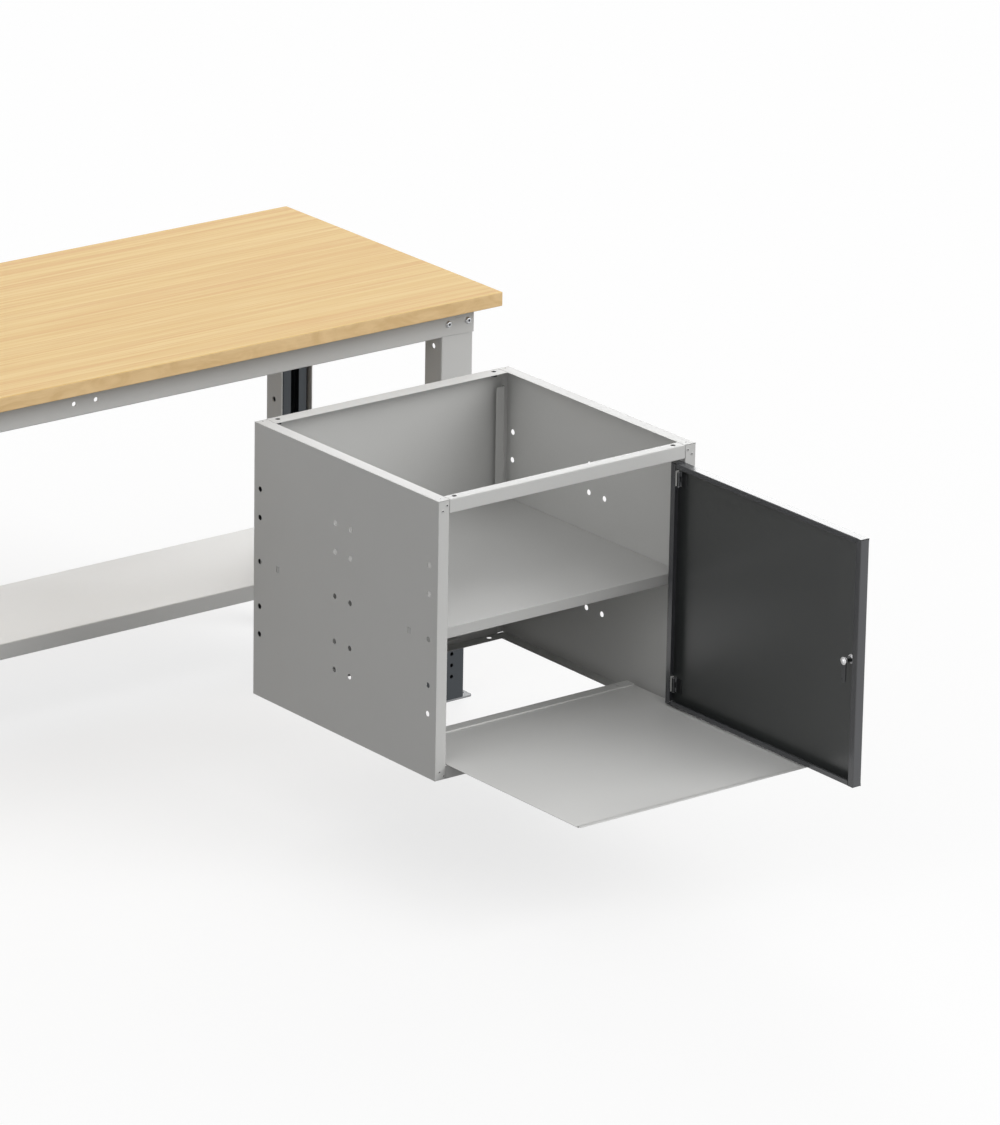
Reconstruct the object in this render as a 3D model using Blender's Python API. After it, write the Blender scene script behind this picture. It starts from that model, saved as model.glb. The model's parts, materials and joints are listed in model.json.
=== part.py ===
# Workbench with a steel cabinet that hangs under its worktop.
# The cabinet stands drawn out in front of its place, with its door open and its bottom plate pulled out.
# Metres, +Z up. X runs along the bench, +Y goes to its back, and Z is zero on the floor.
import math

import bpy
import bmesh
from mathutils import Matrix, Vector

for leftover in list(bpy.data.objects):
    bpy.data.objects.remove(leftover, do_unlink=True)

# Worktop
BENCH_LENGTH = 2.0
BENCH_DEPTH = 0.75
BENCH_HEIGHT = 0.89
TOP_THICKNESS = 0.03
FIT_GAP = 0.0003

# End frames: folded uprights with inner legs that telescope in them
FRAME_SETBACK_FRONT = 0.050
FRAME_SETBACK_SIDE = 0.037
FRAME_DEPTH = 0.607
UPRIGHT_WIDTH = 0.080
UPRIGHT_FLANGE = 0.055
UPRIGHT_LENGTH = 0.560
FRAME_SHEET = 0.002
INNER_LEG_WIDTH = 0.064
INNER_LEG_DEPTH = 0.045
INNER_LEG_LIP = 0.0215
INNER_LEG_REACH = 0.755
LEG_HOLE_PITCH = 0.025
LEG_HOLE_FIRST = 0.0545
LEG_HOLE_COUNT = 8
LEG_HOLE_RADIUS = 0.0045
LEG_BOLT_STEP = 14
FOOT_LENGTH = 0.112
FOOT_DEPTH = 0.046
FOOT_THICKNESS = 0.004
FOOT_CORNER = 0.008
FOOT_HOLE_RADIUS = 0.005
FOOT_HOLE_INSET = 0.012
CROSSBAR_HEIGHT = 0.050

# Long rails under the worktop
RAIL_HEIGHT = 0.060
RAIL_TOP_FLANGE = 0.030
RAIL_LOW_FLANGE = 0.025
RAIL_BOLT_DROP = 0.033
RAIL_BOLT_INSET = 0.015
RAIL_SPARE_PITCH = 0.052
RAIL_HOLE_RADIUS = 0.005

# Lower shelf and the angles that carry it
SHELF_TOP_Z = 0.2264
SHELF_DEPTH = 0.300
SHELF_LIP = 0.034
SHELF_RETURN = 0.012
SHELF_SHEET = 0.0012
ANGLE_LEDGE = 0.040
ANGLE_DROP = 0.040

# Bolts
BOLT_RADIUS = 0.004
BOLT_HEAD_RADIUS = 0.007
BOLT_CROWN_RADIUS = 0.0043
BOLT_SHOULDER_RADIUS = 0.0063
BOLT_SHOULDER_HEIGHT = 0.0026
BOLT_HEAD_HEIGHT = 0.0042
BOLT_SOCKET_RADIUS = 0.0027
BOLT_SOCKET_DEPTH = 0.0024
NUT_RADIUS = 0.0075
NUT_HEIGHT = 0.0065
NUT_CLEARANCE = 0.001
NUT_BORE_GAP = 0.0003
HOLE_SIDES = 10
ROUND_SIDES = 16
DRILL_REACH = 0.006

# Cabinet shell
CAB_WIDTH = 0.630
CAB_DEPTH = 0.600
CAB_HEIGHT = 0.570
CAB_SHEET = 0.001
CAB_LEG_GAP = 0.003
CAB_DRAWN_OUT = 0.825
POST_WIDTH = 0.0255
POST_RETURN = 0.018
SIDE_TOP_FLANGE = 0.027
SIDE_FOOT_FLANGE = 0.027
FOLD_RELIEF = 0.0016
FRONT_RAIL_HEIGHT = 0.028
FRONT_RAIL_FLANGE = 0.0225
FRONT_RAIL_LOW_FLANGE = 0.012
REAR_RAIL_FLANGE = 0.034
SILL_HEIGHT = 0.029
SILL_FLANGE = 0.038
REAR_FOOT_FLANGE = 0.030
TAB_LENGTH = 0.019
TAB_INSET = 0.003
SIDE_HOLE_DEPTHS = (0.027, 0.280, 0.330, 0.5795)
SIDE_HOLE_DROPS = (0.135, 0.194, 0.286, 0.3795, 0.438)
SIDE_HOLE_RADIUS = 0.0060
LEG_SPARE_HOLE_DROP = 0.024
TOP_HOLE_RADIUS = 0.0055
RAIL_SEAM = 0.0012
TOP_HOLE_INSET = 0.047
TOP_HOLE_SETBACK = 0.0135
REAR_FOLD_SETBACK = 0.019
REAR_FOLD_DEPTH = 0.013
REAR_FOLD_STRIP = 0.0215
REAR_FOLD_TOP = 0.034

# Cabinet shelf and its clips
INNER_SHELF_DROP = 0.277
INNER_SHELF_SETBACK = 0.040
INNER_SHELF_DEPTH = 0.540
INNER_SHELF_LIP = 0.023
INNER_SHELF_RETURN = 0.010
INNER_SHELF_SIDE_GAP = 0.0010
CLIP_DEPTHS = (0.0886, 0.5188)
CLIP_WIDTH = 0.0074
CLIP_LEDGE = 0.012
CLIP_SHEET = 0.0015
CLIP_DROP = 0.018
CLIP_SLOT_DROP = 0.0035
CLIP_SLOT_HEIGHT = 0.011
CLIP_SLOT_ROOM = 0.0012

# Bottom plate, which slides over the sill and under the door
PLATE_SIDE_GAP = 0.0025
PLATE_DEPTH = 0.580
PLATE_SHEET = 0.001
PLATE_HOME = 0.008
PLATE_DRAWN_OUT = 0.4265
PLATE_STEP = 0.0025
PLATE_FRONT_LIP = 0.010
PLATE_REAR_LIP = 0.024
PLATE_HOLE_INSET = 0.034
PLATE_HOLE_RADIUS = 0.004
PLATE_LEDGE = 0.040
PLATE_LEDGE_LENGTH = 0.340
PLATE_LEDGE_DROP = 0.022
PLATE_LEDGE_SHEET = 0.0015

# Door
DOOR_SIDE_GAP = 0.0025
DOOR_END_GAP = 0.005
DOOR_DEPTH = 0.020
DOOR_SHEET = 0.001
DOOR_LIP = 0.010
DOOR_FREE_LIP = 0.015
DOOR_HINGE_LIP = 0.014
DOOR_OPEN_ANGLE = 90.0
PIVOT_FROM_EDGE = 0.0081
PIVOT_SETBACK = 0.006
HINGE_HEIGHT = 0.028
HINGE_OFFSET = 0.0375
HINGE_BARREL_RADIUS = 0.0035
HINGE_PIN_RADIUS = 0.0019
HINGE_BORE_RADIUS = 0.0022
HINGE_PIN_HEAD_RADIUS = 0.0030
HINGE_PIN_HEAD_HEIGHT = 0.0010
HINGE_MIDDLE = 0.010
HINGE_PLAY = 0.0005
HINGE_SHEET = 0.0015
HINGE_LEAF = 0.016
HINGE_POST_PLATE = 0.014
HINGE_NOTCH_DEPTH = 0.0125
HINGE_NOTCH_SETBACK = 0.0155
HINGE_NOTCH_PLAY = 0.002

# Cam lock
LOCK_SETBACK = 0.036
LOCK_DROP = 0.0015
LOCK_BODY_RADIUS = 0.0064
LOCK_HOLE_GAP = 0.0003
LOCK_FACE_RADIUS = 0.0095
LOCK_FACE_HEIGHT = 0.0025
LOCK_FACE_BEVEL = 0.001
LOCK_PLUG_RADIUS = 0.0043
LOCK_PLUG_GAP = 0.0003
LOCK_KEY_WIDTH = 0.0014
LOCK_KEY_LENGTH = 0.0058
LOCK_KEY_DEPTH = 0.004
LOCK_NUT_RADIUS = 0.0090
LOCK_NUT_HEIGHT = 0.004
LOCK_STUD_RADIUS = 0.0025
CAM_LENGTH = 0.050
CAM_WIDTH = 0.012
CAM_SHEET = 0.0025
CAM_NUT_RADIUS = 0.0048
CAM_NUT_HEIGHT = 0.004

# Places worked out from the sizes above
top_underside = BENCH_HEIGHT - TOP_THICKNESS
door_height = CAB_HEIGHT - FRONT_RAIL_HEIGHT - SILL_HEIGHT - 2 * DOOR_END_GAP
door_width = CAB_WIDTH - 2 * (POST_WIDTH + DOOR_SIDE_GAP)
door_reach = door_width - PIVOT_FROM_EDGE
front_reach = CAB_DRAWN_OUT - FRAME_SETBACK_FRONT + door_reach - PIVOT_SETBACK
top_front = (front_reach - BENCH_DEPTH) / 2
frame_front = top_front + FRAME_SETBACK_FRONT
frame_rear = frame_front + FRAME_DEPTH
upright_outer = BENCH_LENGTH / 2 - FRAME_SETBACK_SIDE
upright_centre = upright_outer - UPRIGHT_WIDTH / 2
upright_inner = upright_outer - UPRIGHT_WIDTH
upright_top = top_underside - 2 * FIT_GAP - FRAME_SHEET
inner_leg_offset = FRAME_SHEET + FIT_GAP
cabinet_corner = Vector((
    upright_inner - CAB_LEG_GAP - CAB_WIDTH,
    frame_front - CAB_DRAWN_OUT,
    top_underside - RAIL_HEIGHT - FIT_GAP,
))
sill_top = -CAB_HEIGHT + SILL_HEIGHT
x_axis = Vector((1, 0, 0))
y_axis = Vector((0, 1, 0))
z_axis = Vector((0, 0, 1))

# Turns for outlines drawn in x and z, and in y and z
stand_up = Matrix.Rotation(math.radians(90), 4, "X")
lay_across = Matrix(((0, 0, 1, 0), (1, 0, 0, 0), (0, 1, 0, 0), (0, 0, 0, 1)))

light_grey = ((0.56, 0.56, 0.54), 0.45, 0.0)
anthracite = ((0.045, 0.050, 0.058), 0.40, 0.0)
beech = ((0.74, 0.52, 0.27), 0.45, 0.0)
zinc = ((0.60, 0.60, 0.60), 0.35, 1.0)
chrome = ((0.75, 0.75, 0.75), 0.15, 1.0)
steel = ((0.45, 0.45, 0.46), 0.40, 1.0)
black_oxide = ((0.020, 0.021, 0.023), 0.45, 0.0)


def finish(obj, look):
    colour, roughness, metallic = look
    material = bpy.data.materials.new(obj.name)
    material.use_nodes = True
    shader = material.node_tree.nodes["Principled BSDF"]
    shader.inputs["Base Color"].default_value = (*colour, 1)
    shader.inputs["Roughness"].default_value = roughness
    shader.inputs["Metallic"].default_value = metallic
    obj.data.materials.append(material)


def add_object(name, mesh_source, look, parent=None, closed=True):
    if closed:
        bmesh.ops.recalc_face_normals(mesh_source, faces=mesh_source.faces[:])
    mesh = bpy.data.meshes.new(name)
    mesh_source.to_mesh(mesh)
    mesh_source.free()
    obj = bpy.data.objects.new(name, mesh)
    bpy.context.collection.objects.link(obj)
    obj.parent = parent
    if look is not None:
        finish(obj, look)
    return obj


def add_empty(name, matrix, parent=None):
    empty = bpy.data.objects.new(name, None)
    bpy.context.collection.objects.link(empty)
    empty.parent = parent
    empty.matrix_local = matrix
    return empty


def add_box(shape, low, high):
    size = Vector(high) - Vector(low)
    middle = (Vector(high) + Vector(low)) / 2
    place = Matrix.Translation(middle) @ Matrix.Diagonal((*size, 1))
    bmesh.ops.create_cube(shape, size=1, matrix=place)


def axis_frame(start, direction):
    turn = Vector(direction).normalized().to_track_quat("Z", "Y").to_matrix().to_4x4()
    return Matrix.Translation(start) @ turn


def turned_rings(shape, start, direction, profile, sides):
    place = axis_frame(start, direction)
    rings = []
    for radius, height in profile:
        ring = []
        for step in range(sides):
            angle = 2 * math.pi * step / sides
            point = Vector((radius * math.cos(angle), radius * math.sin(angle), height))
            ring.append(shape.verts.new(place @ point))
        rings.append(ring)
    return rings


def join_rings(shape, rings):
    for lower, upper in zip(rings, rings[1:]):
        for step, corner in enumerate(lower):
            after = (step + 1) % len(lower)
            shape.faces.new((corner, lower[after], upper[after], upper[step]))


# A turned piece: profile points are (radius, height) along the direction, from its start.
def add_turned(shape, start, direction, profile, sides=HOLE_SIDES):
    rings = turned_rings(shape, start, direction, profile, sides)
    join_rings(shape, rings)
    shape.faces.new(list(reversed(rings[0])))
    shape.faces.new(rings[-1])


# A turned ring with a bore: its corners are (radius, height), all the way round its section.
def add_ring(shape, start, direction, corners, sides=HOLE_SIDES):
    rings = turned_rings(shape, start, direction, corners, sides)
    join_rings(shape, rings + rings[:1])


# A button-head bolt through two sheets, with its nut run up behind them.
def add_bolt(name, seat, direction):
    grip = 2 * FRAME_SHEET + 3 * FIT_GAP
    shape = bmesh.new()
    add_turned(shape, seat, direction, (
        (BOLT_SOCKET_RADIUS, BOLT_SOCKET_DEPTH - BOLT_HEAD_HEIGHT),
        (BOLT_SOCKET_RADIUS, -BOLT_HEAD_HEIGHT),
        (BOLT_CROWN_RADIUS, -BOLT_HEAD_HEIGHT),
        (BOLT_SHOULDER_RADIUS, -BOLT_SHOULDER_HEIGHT),
        (BOLT_HEAD_RADIUS, 0),
        (BOLT_RADIUS, 0),
        (BOLT_RADIUS, grip),
        (NUT_RADIUS, grip),
        (NUT_RADIUS, grip + NUT_HEIGHT),
    ))
    add_object(name, shape, zinc)


# Leaves of folded sheet, listed as flat faces that share their fold edges.
# Folds on an outer edge are (start, end, direction, depth, folds), measured from the edge's first end.
def add_leaf(faces, first, last, direction, depth, folds=()):
    outer_first = first + direction * depth
    outer_last = last + direction * depth
    along = (outer_last - outer_first).normalized()
    points = [first, last, outer_last]
    for start, end, *_ in sorted(folds, key=lambda fold: -fold[0]):
        points.append(outer_first + along * end)
        points.append(outer_first + along * start)
    points.append(outer_first)
    faces.append(points)
    for start, end, turn, reach, more in folds:
        add_leaf(faces, outer_first + along * start, outer_first + along * end, turn, reach, more)


# A flat panel with folds on its four edges: bottom, right, top and left of the (across, up) rectangle.
def panel_faces(corner, across, up, width, height, folds):
    far = corner + across * width
    corners = [corner, far, far + up * height, corner + up * height]
    faces = []
    outline = []
    leaves = []
    for index, side in enumerate(("bottom", "right", "top", "left")):
        first = corners[index]
        along = (corners[(index + 1) % 4] - first).normalized()
        outline.append(first)
        for start, end, turn, reach, more in folds.get(side, ()):
            outline.append(first + along * start)
            outline.append(first + along * end)
            leaves.append((first + along * start, first + along * end, turn, reach, more))
    faces.append(outline)
    for leaf in leaves:
        add_leaf(faces, *leaf)
    return faces


def add_sheet(name, faces, outward, thickness, look, parent=None):
    shape = bmesh.new()
    known = {}
    for points in faces:
        corners = []
        for point in points:
            key = tuple(round(value, 6) for value in point)
            if key not in known:
                known[key] = shape.verts.new(point)
            if known[key] not in corners:
                corners.append(known[key])
        shape.faces.new(corners)
    bmesh.ops.recalc_face_normals(shape, faces=shape.faces[:])
    shape.faces.ensure_lookup_table()
    shape.normal_update()
    if shape.faces[0].normal.dot(outward) < 0:
        bmesh.ops.reverse_faces(shape, faces=shape.faces[:])
    obj = add_object(name, shape, look, parent, closed=False)
    solid = obj.modifiers.new("sheet", "SOLIDIFY")
    solid.thickness = thickness
    solid.offset = -1
    solid.use_even_offset = True
    solid.use_quality_normals = True
    return obj


def cut(obj, name, shape, parent=None, operation="DIFFERENCE"):
    cutter = add_object(name, shape, None, parent)
    cutter.hide_render = True
    cutter.display_type = "WIRE"
    change = obj.modifiers.new(name, "BOOLEAN")
    change.operation = operation
    change.solver = "EXACT"
    change.object = cutter


# Round holes: each is (middle of the wall, direction, radius).
def drill(obj, holes, parent=None, reach=DRILL_REACH, sides=HOLE_SIDES):
    shape = bmesh.new()
    for middle, direction, radius in holes:
        start = Vector(middle) - Vector(direction) * reach / 2
        add_turned(shape, start, direction, ((radius, 0), (radius, reach)), sides)
    cut(obj, obj.name + "_holes", shape, parent)


def prism(name, outline, place, height, look, parent=None):
    shape = bmesh.new()
    base = shape.faces.new([shape.verts.new(place @ Vector((u, v, 0))) for u, v in outline])
    sweep = place.to_3x3() @ Vector((0, 0, height))
    risen = bmesh.ops.extrude_face_region(shape, geom=[base])["geom"]
    corners = [item for item in risen if isinstance(item, bmesh.types.BMVert)]
    bmesh.ops.translate(shape, verts=corners, vec=sweep)
    return add_object(name, shape, look, parent)


def rounded_outline(width, depth, radius, steps=4):
    points = []
    centres = ((1, 1, 0), (-1, 1, 90), (-1, -1, 180), (1, -1, 270))
    for side_u, side_v, first in centres:
        for step in range(steps + 1):
            angle = math.radians(first + 90 * step / steps)
            u = side_u * (width / 2 - radius) + radius * math.cos(angle)
            v = side_v * (depth / 2 - radius) + radius * math.sin(angle)
            points.append((u, v))
    return points


# Worktop
shape = bmesh.new()
add_box(shape, (-BENCH_LENGTH / 2, top_front, top_underside),
        (BENCH_LENGTH / 2, top_front + BENCH_DEPTH, BENCH_HEIGHT))
add_object("worktop", shape, beech)


# Long rails in front of the uprights, folded back over and between them
def rail_bolt_places(facing):
    face = frame_front if facing < 0 else frame_rear
    places = []
    for side in (-1, 1):
        for offset in (-1, 1):
            bolt_x = side * upright_centre + offset * (UPRIGHT_WIDTH / 2 - RAIL_BOLT_INSET)
            places.append(Vector((bolt_x, face, top_underside - RAIL_BOLT_DROP)))
    return places


def add_rail(name, facing):
    face = frame_front if facing < 0 else frame_rear
    skin = face + facing * (FRAME_SHEET + FIT_GAP)
    inward = y_axis * -facing
    length = 2 * upright_outer
    low = top_underside - RAIL_HEIGHT
    height = RAIL_HEIGHT - FIT_GAP
    gap = UPRIGHT_WIDTH + 2 * FIT_GAP
    faces = panel_faces(Vector((-upright_outer, skin, low)), x_axis, z_axis, length, height, {
        "top": ((0, length, inward, RAIL_TOP_FLANGE, ()),),
        "bottom": ((gap, length - gap, inward, RAIL_LOW_FLANGE, ()),),
    })
    rail = add_sheet(name, faces, -inward, FRAME_SHEET, light_grey)
    holes = []
    for place in rail_bolt_places(facing):
        holes.append((place, y_axis, BOLT_RADIUS + FIT_GAP))
    for side in (-1, 1):
        spare = Vector((side * RAIL_SPARE_PITCH / 2, skin, top_underside - RAIL_BOLT_DROP))
        holes.append((spare, y_axis, RAIL_HOLE_RADIUS))
    drill(rail, holes)


add_rail("front_rail", -1)
add_rail("rear_rail", 1)


# End frames: a front and a rear upright, each with its inner leg and foot plate
leg_bolt_height = LEG_HOLE_FIRST + LEG_HOLE_PITCH * LEG_BOLT_STEP


def add_upright(name, side, facing):
    face = frame_front if facing < 0 else frame_rear
    inward = y_axis * -facing
    corner = Vector((side * upright_centre - UPRIGHT_WIDTH / 2, face, upright_top - UPRIGHT_LENGTH))
    folds = {
        "left": ((0, UPRIGHT_LENGTH, inward, UPRIGHT_FLANGE, ()),),
        "right": ((0, UPRIGHT_LENGTH, inward, UPRIGHT_FLANGE, ()),),
    }
    faces = panel_faces(corner, x_axis, z_axis, UPRIGHT_WIDTH, UPRIGHT_LENGTH, folds)
    upright = add_sheet(name, faces, -inward, FRAME_SHEET, light_grey)
    holes = []
    for place in rail_bolt_places(facing):
        if place.x * side > 0:
            holes.append((place, y_axis, BOLT_RADIUS + FIT_GAP))
    leg_bolt = Vector((side * upright_centre, face, leg_bolt_height))
    holes.append((leg_bolt, y_axis, BOLT_RADIUS + FIT_GAP))
    for drop in (LEG_SPARE_HOLE_DROP, *SIDE_HOLE_DROPS):
        hole_y = face - facing * UPRIGHT_FLANGE / 2
        middle = Vector((side * upright_inner, hole_y, cabinet_corner.z - drop))
        holes.append((middle, x_axis, SIDE_HOLE_RADIUS))
    drill(upright, holes)


def add_inner_leg(name, side, facing):
    face = frame_front if facing < 0 else frame_rear
    skin = face - facing * inner_leg_offset
    inward = y_axis * -facing
    low = FOOT_THICKNESS + FIT_GAP
    corner = Vector((side * upright_centre - INNER_LEG_WIDTH / 2, skin, low))
    folds = {
        "left": ((0, INNER_LEG_REACH, inward, INNER_LEG_DEPTH,
                  ((0, INNER_LEG_REACH, x_axis, INNER_LEG_LIP, ()),)),),
        "right": ((0, INNER_LEG_REACH, inward, INNER_LEG_DEPTH,
                   ((0, INNER_LEG_REACH, -x_axis, INNER_LEG_LIP, ()),)),),
    }
    faces = panel_faces(corner, x_axis, z_axis, INNER_LEG_WIDTH, INNER_LEG_REACH, folds)
    leg = add_sheet(name, faces, -inward, FRAME_SHEET, anthracite)
    heights = [LEG_HOLE_FIRST + LEG_HOLE_PITCH * step for step in range(LEG_HOLE_COUNT)]
    holes = []
    for height in heights + [leg_bolt_height]:
        holes.append((Vector((side * upright_centre, skin, height)), y_axis, LEG_HOLE_RADIUS))
    drill(leg, holes)
    clearance = bmesh.new()
    for place in rail_bolt_places(facing):
        if place.x * side > 0:
            profile = ((NUT_RADIUS + NUT_CLEARANCE, 0), (NUT_RADIUS + NUT_CLEARANCE, 2 * NUT_HEIGHT))
            add_turned(clearance, place, inward, profile)
    cut(leg, name + "_nut_clearance", clearance)


def add_foot(name, side, facing):
    face = frame_front if facing < 0 else frame_rear
    middle = face - facing * (inner_leg_offset + INNER_LEG_DEPTH / 2)
    place = Matrix.Translation((side * upright_centre, middle, 0))
    outline = rounded_outline(FOOT_LENGTH, FOOT_DEPTH, FOOT_CORNER)
    foot = prism(name, outline, place, FOOT_THICKNESS, zinc)
    holes = []
    for end in (-1, 1):
        hole_x = side * upright_centre + end * (FOOT_LENGTH / 2 - FOOT_HOLE_INSET)
        holes.append((Vector((hole_x, middle, FOOT_THICKNESS / 2)), z_axis, FOOT_HOLE_RADIUS))
    drill(foot, holes, reach=2 * FOOT_THICKNESS)


angle_skin = upright_centre - INNER_LEG_WIDTH / 2 - FIT_GAP
angle_top = SHELF_TOP_Z - SHELF_SHEET - FIT_GAP

for side, side_name in ((1, "right"), (-1, "left")):
    for facing, end_name in ((-1, "front"), (1, "rear")):
        add_upright("upright_" + end_name + "_" + side_name, side, facing)
        add_inner_leg("inner_leg_" + end_name + "_" + side_name, side, facing)
        add_foot("foot_plate_" + end_name + "_" + side_name, side, facing)

    # Top crossbar: a channel, open below, that sits in both uprights
    bar_width = UPRIGHT_WIDTH - 2 * (FRAME_SHEET + FIT_GAP)
    bar_length = FRAME_DEPTH - 2 * inner_leg_offset
    bar_front = frame_front + inner_leg_offset
    corner = Vector((side * upright_centre - bar_width / 2, bar_front, upright_top))
    faces = panel_faces(corner, x_axis, y_axis, bar_width, bar_length, {
        "left": ((0, bar_length, -z_axis, CROSSBAR_HEIGHT, ()),),
        "right": ((0, bar_length, -z_axis, CROSSBAR_HEIGHT, ()),),
    })
    add_sheet("top_crossbar_" + side_name, faces, z_axis, FRAME_SHEET, light_grey)

    # Shelf angle, bolted to the inner sides of both inner legs
    corner = Vector((side * angle_skin, bar_front, angle_top))
    faces = panel_faces(corner, x_axis * -side, y_axis, ANGLE_LEDGE, bar_length, {
        "left": ((0, bar_length, -z_axis, ANGLE_DROP, ()),),
    })
    add_sheet("shelf_angle_" + side_name, faces, z_axis, FRAME_SHEET, light_grey)

# Lower shelf: lips stop short of the angles that carry its ends
shelf_half = angle_skin - FIT_GAP
lip_start = ANGLE_LEDGE + 2 * FIT_GAP
corner = Vector((-shelf_half, frame_rear - SHELF_DEPTH, SHELF_TOP_Z))
lip_end = 2 * shelf_half - lip_start
lip_length = lip_end - lip_start
front_return = (0, lip_length, y_axis, SHELF_RETURN, ())
rear_return = (0, lip_length, -y_axis, SHELF_RETURN, ())
faces = panel_faces(corner, x_axis, y_axis, 2 * shelf_half, SHELF_DEPTH, {
    "bottom": ((lip_start, lip_end, -z_axis, SHELF_LIP, (front_return,)),),
    "top": ((lip_start, lip_end, -z_axis, SHELF_LIP, (rear_return,)),),
})
add_sheet("lower_shelf", faces, z_axis, SHELF_SHEET, light_grey)

# Bolts that hold the rails to the uprights and clamp the inner legs at their height
for facing, end_name in ((-1, "front"), (1, "rear")):
    face = frame_front if facing < 0 else frame_rear
    inward = y_axis * -facing
    for number, place in enumerate(rail_bolt_places(facing), 1):
        seat = place - inward * (FRAME_SHEET + 2 * FIT_GAP)
        add_bolt(end_name + "_rail_bolt_" + str(number), seat, inward)
    for side, side_name in ((1, "right"), (-1, "left")):
        seat = Vector((side * upright_centre, face, leg_bolt_height)) - inward * FIT_GAP
        add_bolt("leg_bolt_" + end_name + "_" + side_name, seat, inward)

# Cabinet frame: x from its left side, y from its front, z down from its top
cabinet = add_empty("cabinet_place", Matrix.Translation(cabinet_corner))


def add_cabinet_side(name, side):
    wall = 0 if side < 0 else CAB_WIDTH
    inward = x_axis * -side
    flange_run = (FOLD_RELIEF, CAB_DEPTH - FOLD_RELIEF, inward)
    foot_run = (FOLD_RELIEF, CAB_DEPTH - CAB_SHEET - FIT_GAP, inward)
    post_run = (FOLD_RELIEF, CAB_HEIGHT - FOLD_RELIEF, inward)
    return_start = FRONT_RAIL_HEIGHT + FIT_GAP - FOLD_RELIEF
    return_end = CAB_HEIGHT - SILL_HEIGHT - FIT_GAP - FOLD_RELIEF
    post_return = (return_start, return_end, y_axis, POST_RETURN, ())
    faces = panel_faces(Vector((wall, 0, -CAB_HEIGHT)), y_axis, z_axis, CAB_DEPTH, CAB_HEIGHT, {
        "bottom": ((*foot_run, SIDE_FOOT_FLANGE, ()),),
        "right": ((*post_run, SIDE_TOP_FLANGE, ()),),
        "top": ((*flange_run, SIDE_TOP_FLANGE, ()),),
        "left": ((*post_run, POST_WIDTH, (post_return,)),),
    })
    panel = add_sheet(name, faces, -inward, CAB_SHEET, light_grey, cabinet)
    holes = []
    for depth in SIDE_HOLE_DEPTHS:
        for drop in SIDE_HOLE_DROPS:
            holes.append((Vector((wall, depth, -drop)), x_axis, SIDE_HOLE_RADIUS))
    drill(panel, holes, cabinet)
    slots = bmesh.new()
    slot_top = -INNER_SHELF_DROP - CLIP_SLOT_DROP + CLIP_SLOT_ROOM
    slot_low = slot_top - CLIP_SLOT_ROOM - CLIP_SLOT_HEIGHT - FIT_GAP
    slot_half = CLIP_WIDTH / 2 + CLIP_SLOT_ROOM
    for depth in CLIP_DEPTHS:
        add_box(slots, (wall - 3 * CAB_SHEET, depth - slot_half, slot_low),
                (wall + 3 * CAB_SHEET, depth + slot_half, slot_top))
    cut(panel, name + "_slots", slots, cabinet)


add_cabinet_side("cabinet_left_side", -1)
add_cabinet_side("cabinet_right_side", 1)


# A tab stepped back by one sheet to lie behind a side's flange
def tab_fold(outward, inward, start, end):
    tab = (0, end - start, outward, TAB_LENGTH, ())
    return (start, end, inward, CAB_SHEET + FIT_GAP, (tab,))


# A rail between the two sides: its face, folds on its long edges and a tab at each end
def add_cabinet_rail(name, face_y, low, height, lap, seam, folds, holes):
    facing = -1 if face_y == 0 else 1
    inward = y_axis * -facing
    length = CAB_WIDTH - 2 * (lap + seam)
    start = TAB_INSET
    end = height - TAB_INSET
    corner = Vector((lap + seam, face_y, low))
    faces = panel_faces(corner, x_axis, z_axis, length, height, {
        "left": (tab_fold(-x_axis, inward, start, end),),
        "right": (tab_fold(x_axis, inward, start, end),),
        **folds(length, inward),
    })
    rail = add_sheet(name, faces, -inward, CAB_SHEET, light_grey, cabinet)
    drill(rail, holes, cabinet)


def flange_holes(setback, height):
    places = []
    for across in (TOP_HOLE_INSET, CAB_WIDTH - TOP_HOLE_INSET):
        places.append((Vector((across, setback, height)), z_axis, TOP_HOLE_RADIUS))
    return places


def front_rail_folds(length, inward):
    start = SIDE_TOP_FLANGE - POST_WIDTH
    return {
        "top": ((start, length - start, inward, FRONT_RAIL_FLANGE, ()),),
        "bottom": ((FOLD_RELIEF, length - FOLD_RELIEF, inward, FRONT_RAIL_LOW_FLANGE, ()),),
    }


def sill_folds(length, inward):
    return {
        "top": ((FOLD_RELIEF, length - FOLD_RELIEF, inward, SILL_FLANGE, ()),),
        "bottom": ((FOLD_RELIEF, length - FOLD_RELIEF, inward, FRONT_RAIL_FLANGE, ()),),
    }


def rear_rail_folds(length, inward):
    return {"top": ((0, length, inward, REAR_RAIL_FLANGE, ()),)}


def rear_foot_folds(length, inward):
    return {"bottom": ((0, length, inward, REAR_FOOT_FLANGE, ()),)}


rear_hole_y = CAB_DEPTH - TOP_HOLE_SETBACK
add_cabinet_rail("front_top_rail", 0, -FRONT_RAIL_HEIGHT, FRONT_RAIL_HEIGHT, POST_WIDTH, RAIL_SEAM,
                 front_rail_folds, flange_holes(TOP_HOLE_SETBACK, 0))
add_cabinet_rail("front_sill", 0, -CAB_HEIGHT, SILL_HEIGHT, POST_WIDTH, RAIL_SEAM,
                 sill_folds, flange_holes(TOP_HOLE_SETBACK, sill_top))
add_cabinet_rail("rear_top_rail", CAB_DEPTH, -FRONT_RAIL_HEIGHT, FRONT_RAIL_HEIGHT, SIDE_TOP_FLANGE,
                 RAIL_SEAM, rear_rail_folds, flange_holes(rear_hole_y, 0))
add_cabinet_rail("rear_foot_rail", CAB_DEPTH, -CAB_HEIGHT, SILL_HEIGHT, SIDE_TOP_FLANGE,
                 FIT_GAP, rear_foot_folds, flange_holes(rear_hole_y, -CAB_HEIGHT))

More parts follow.
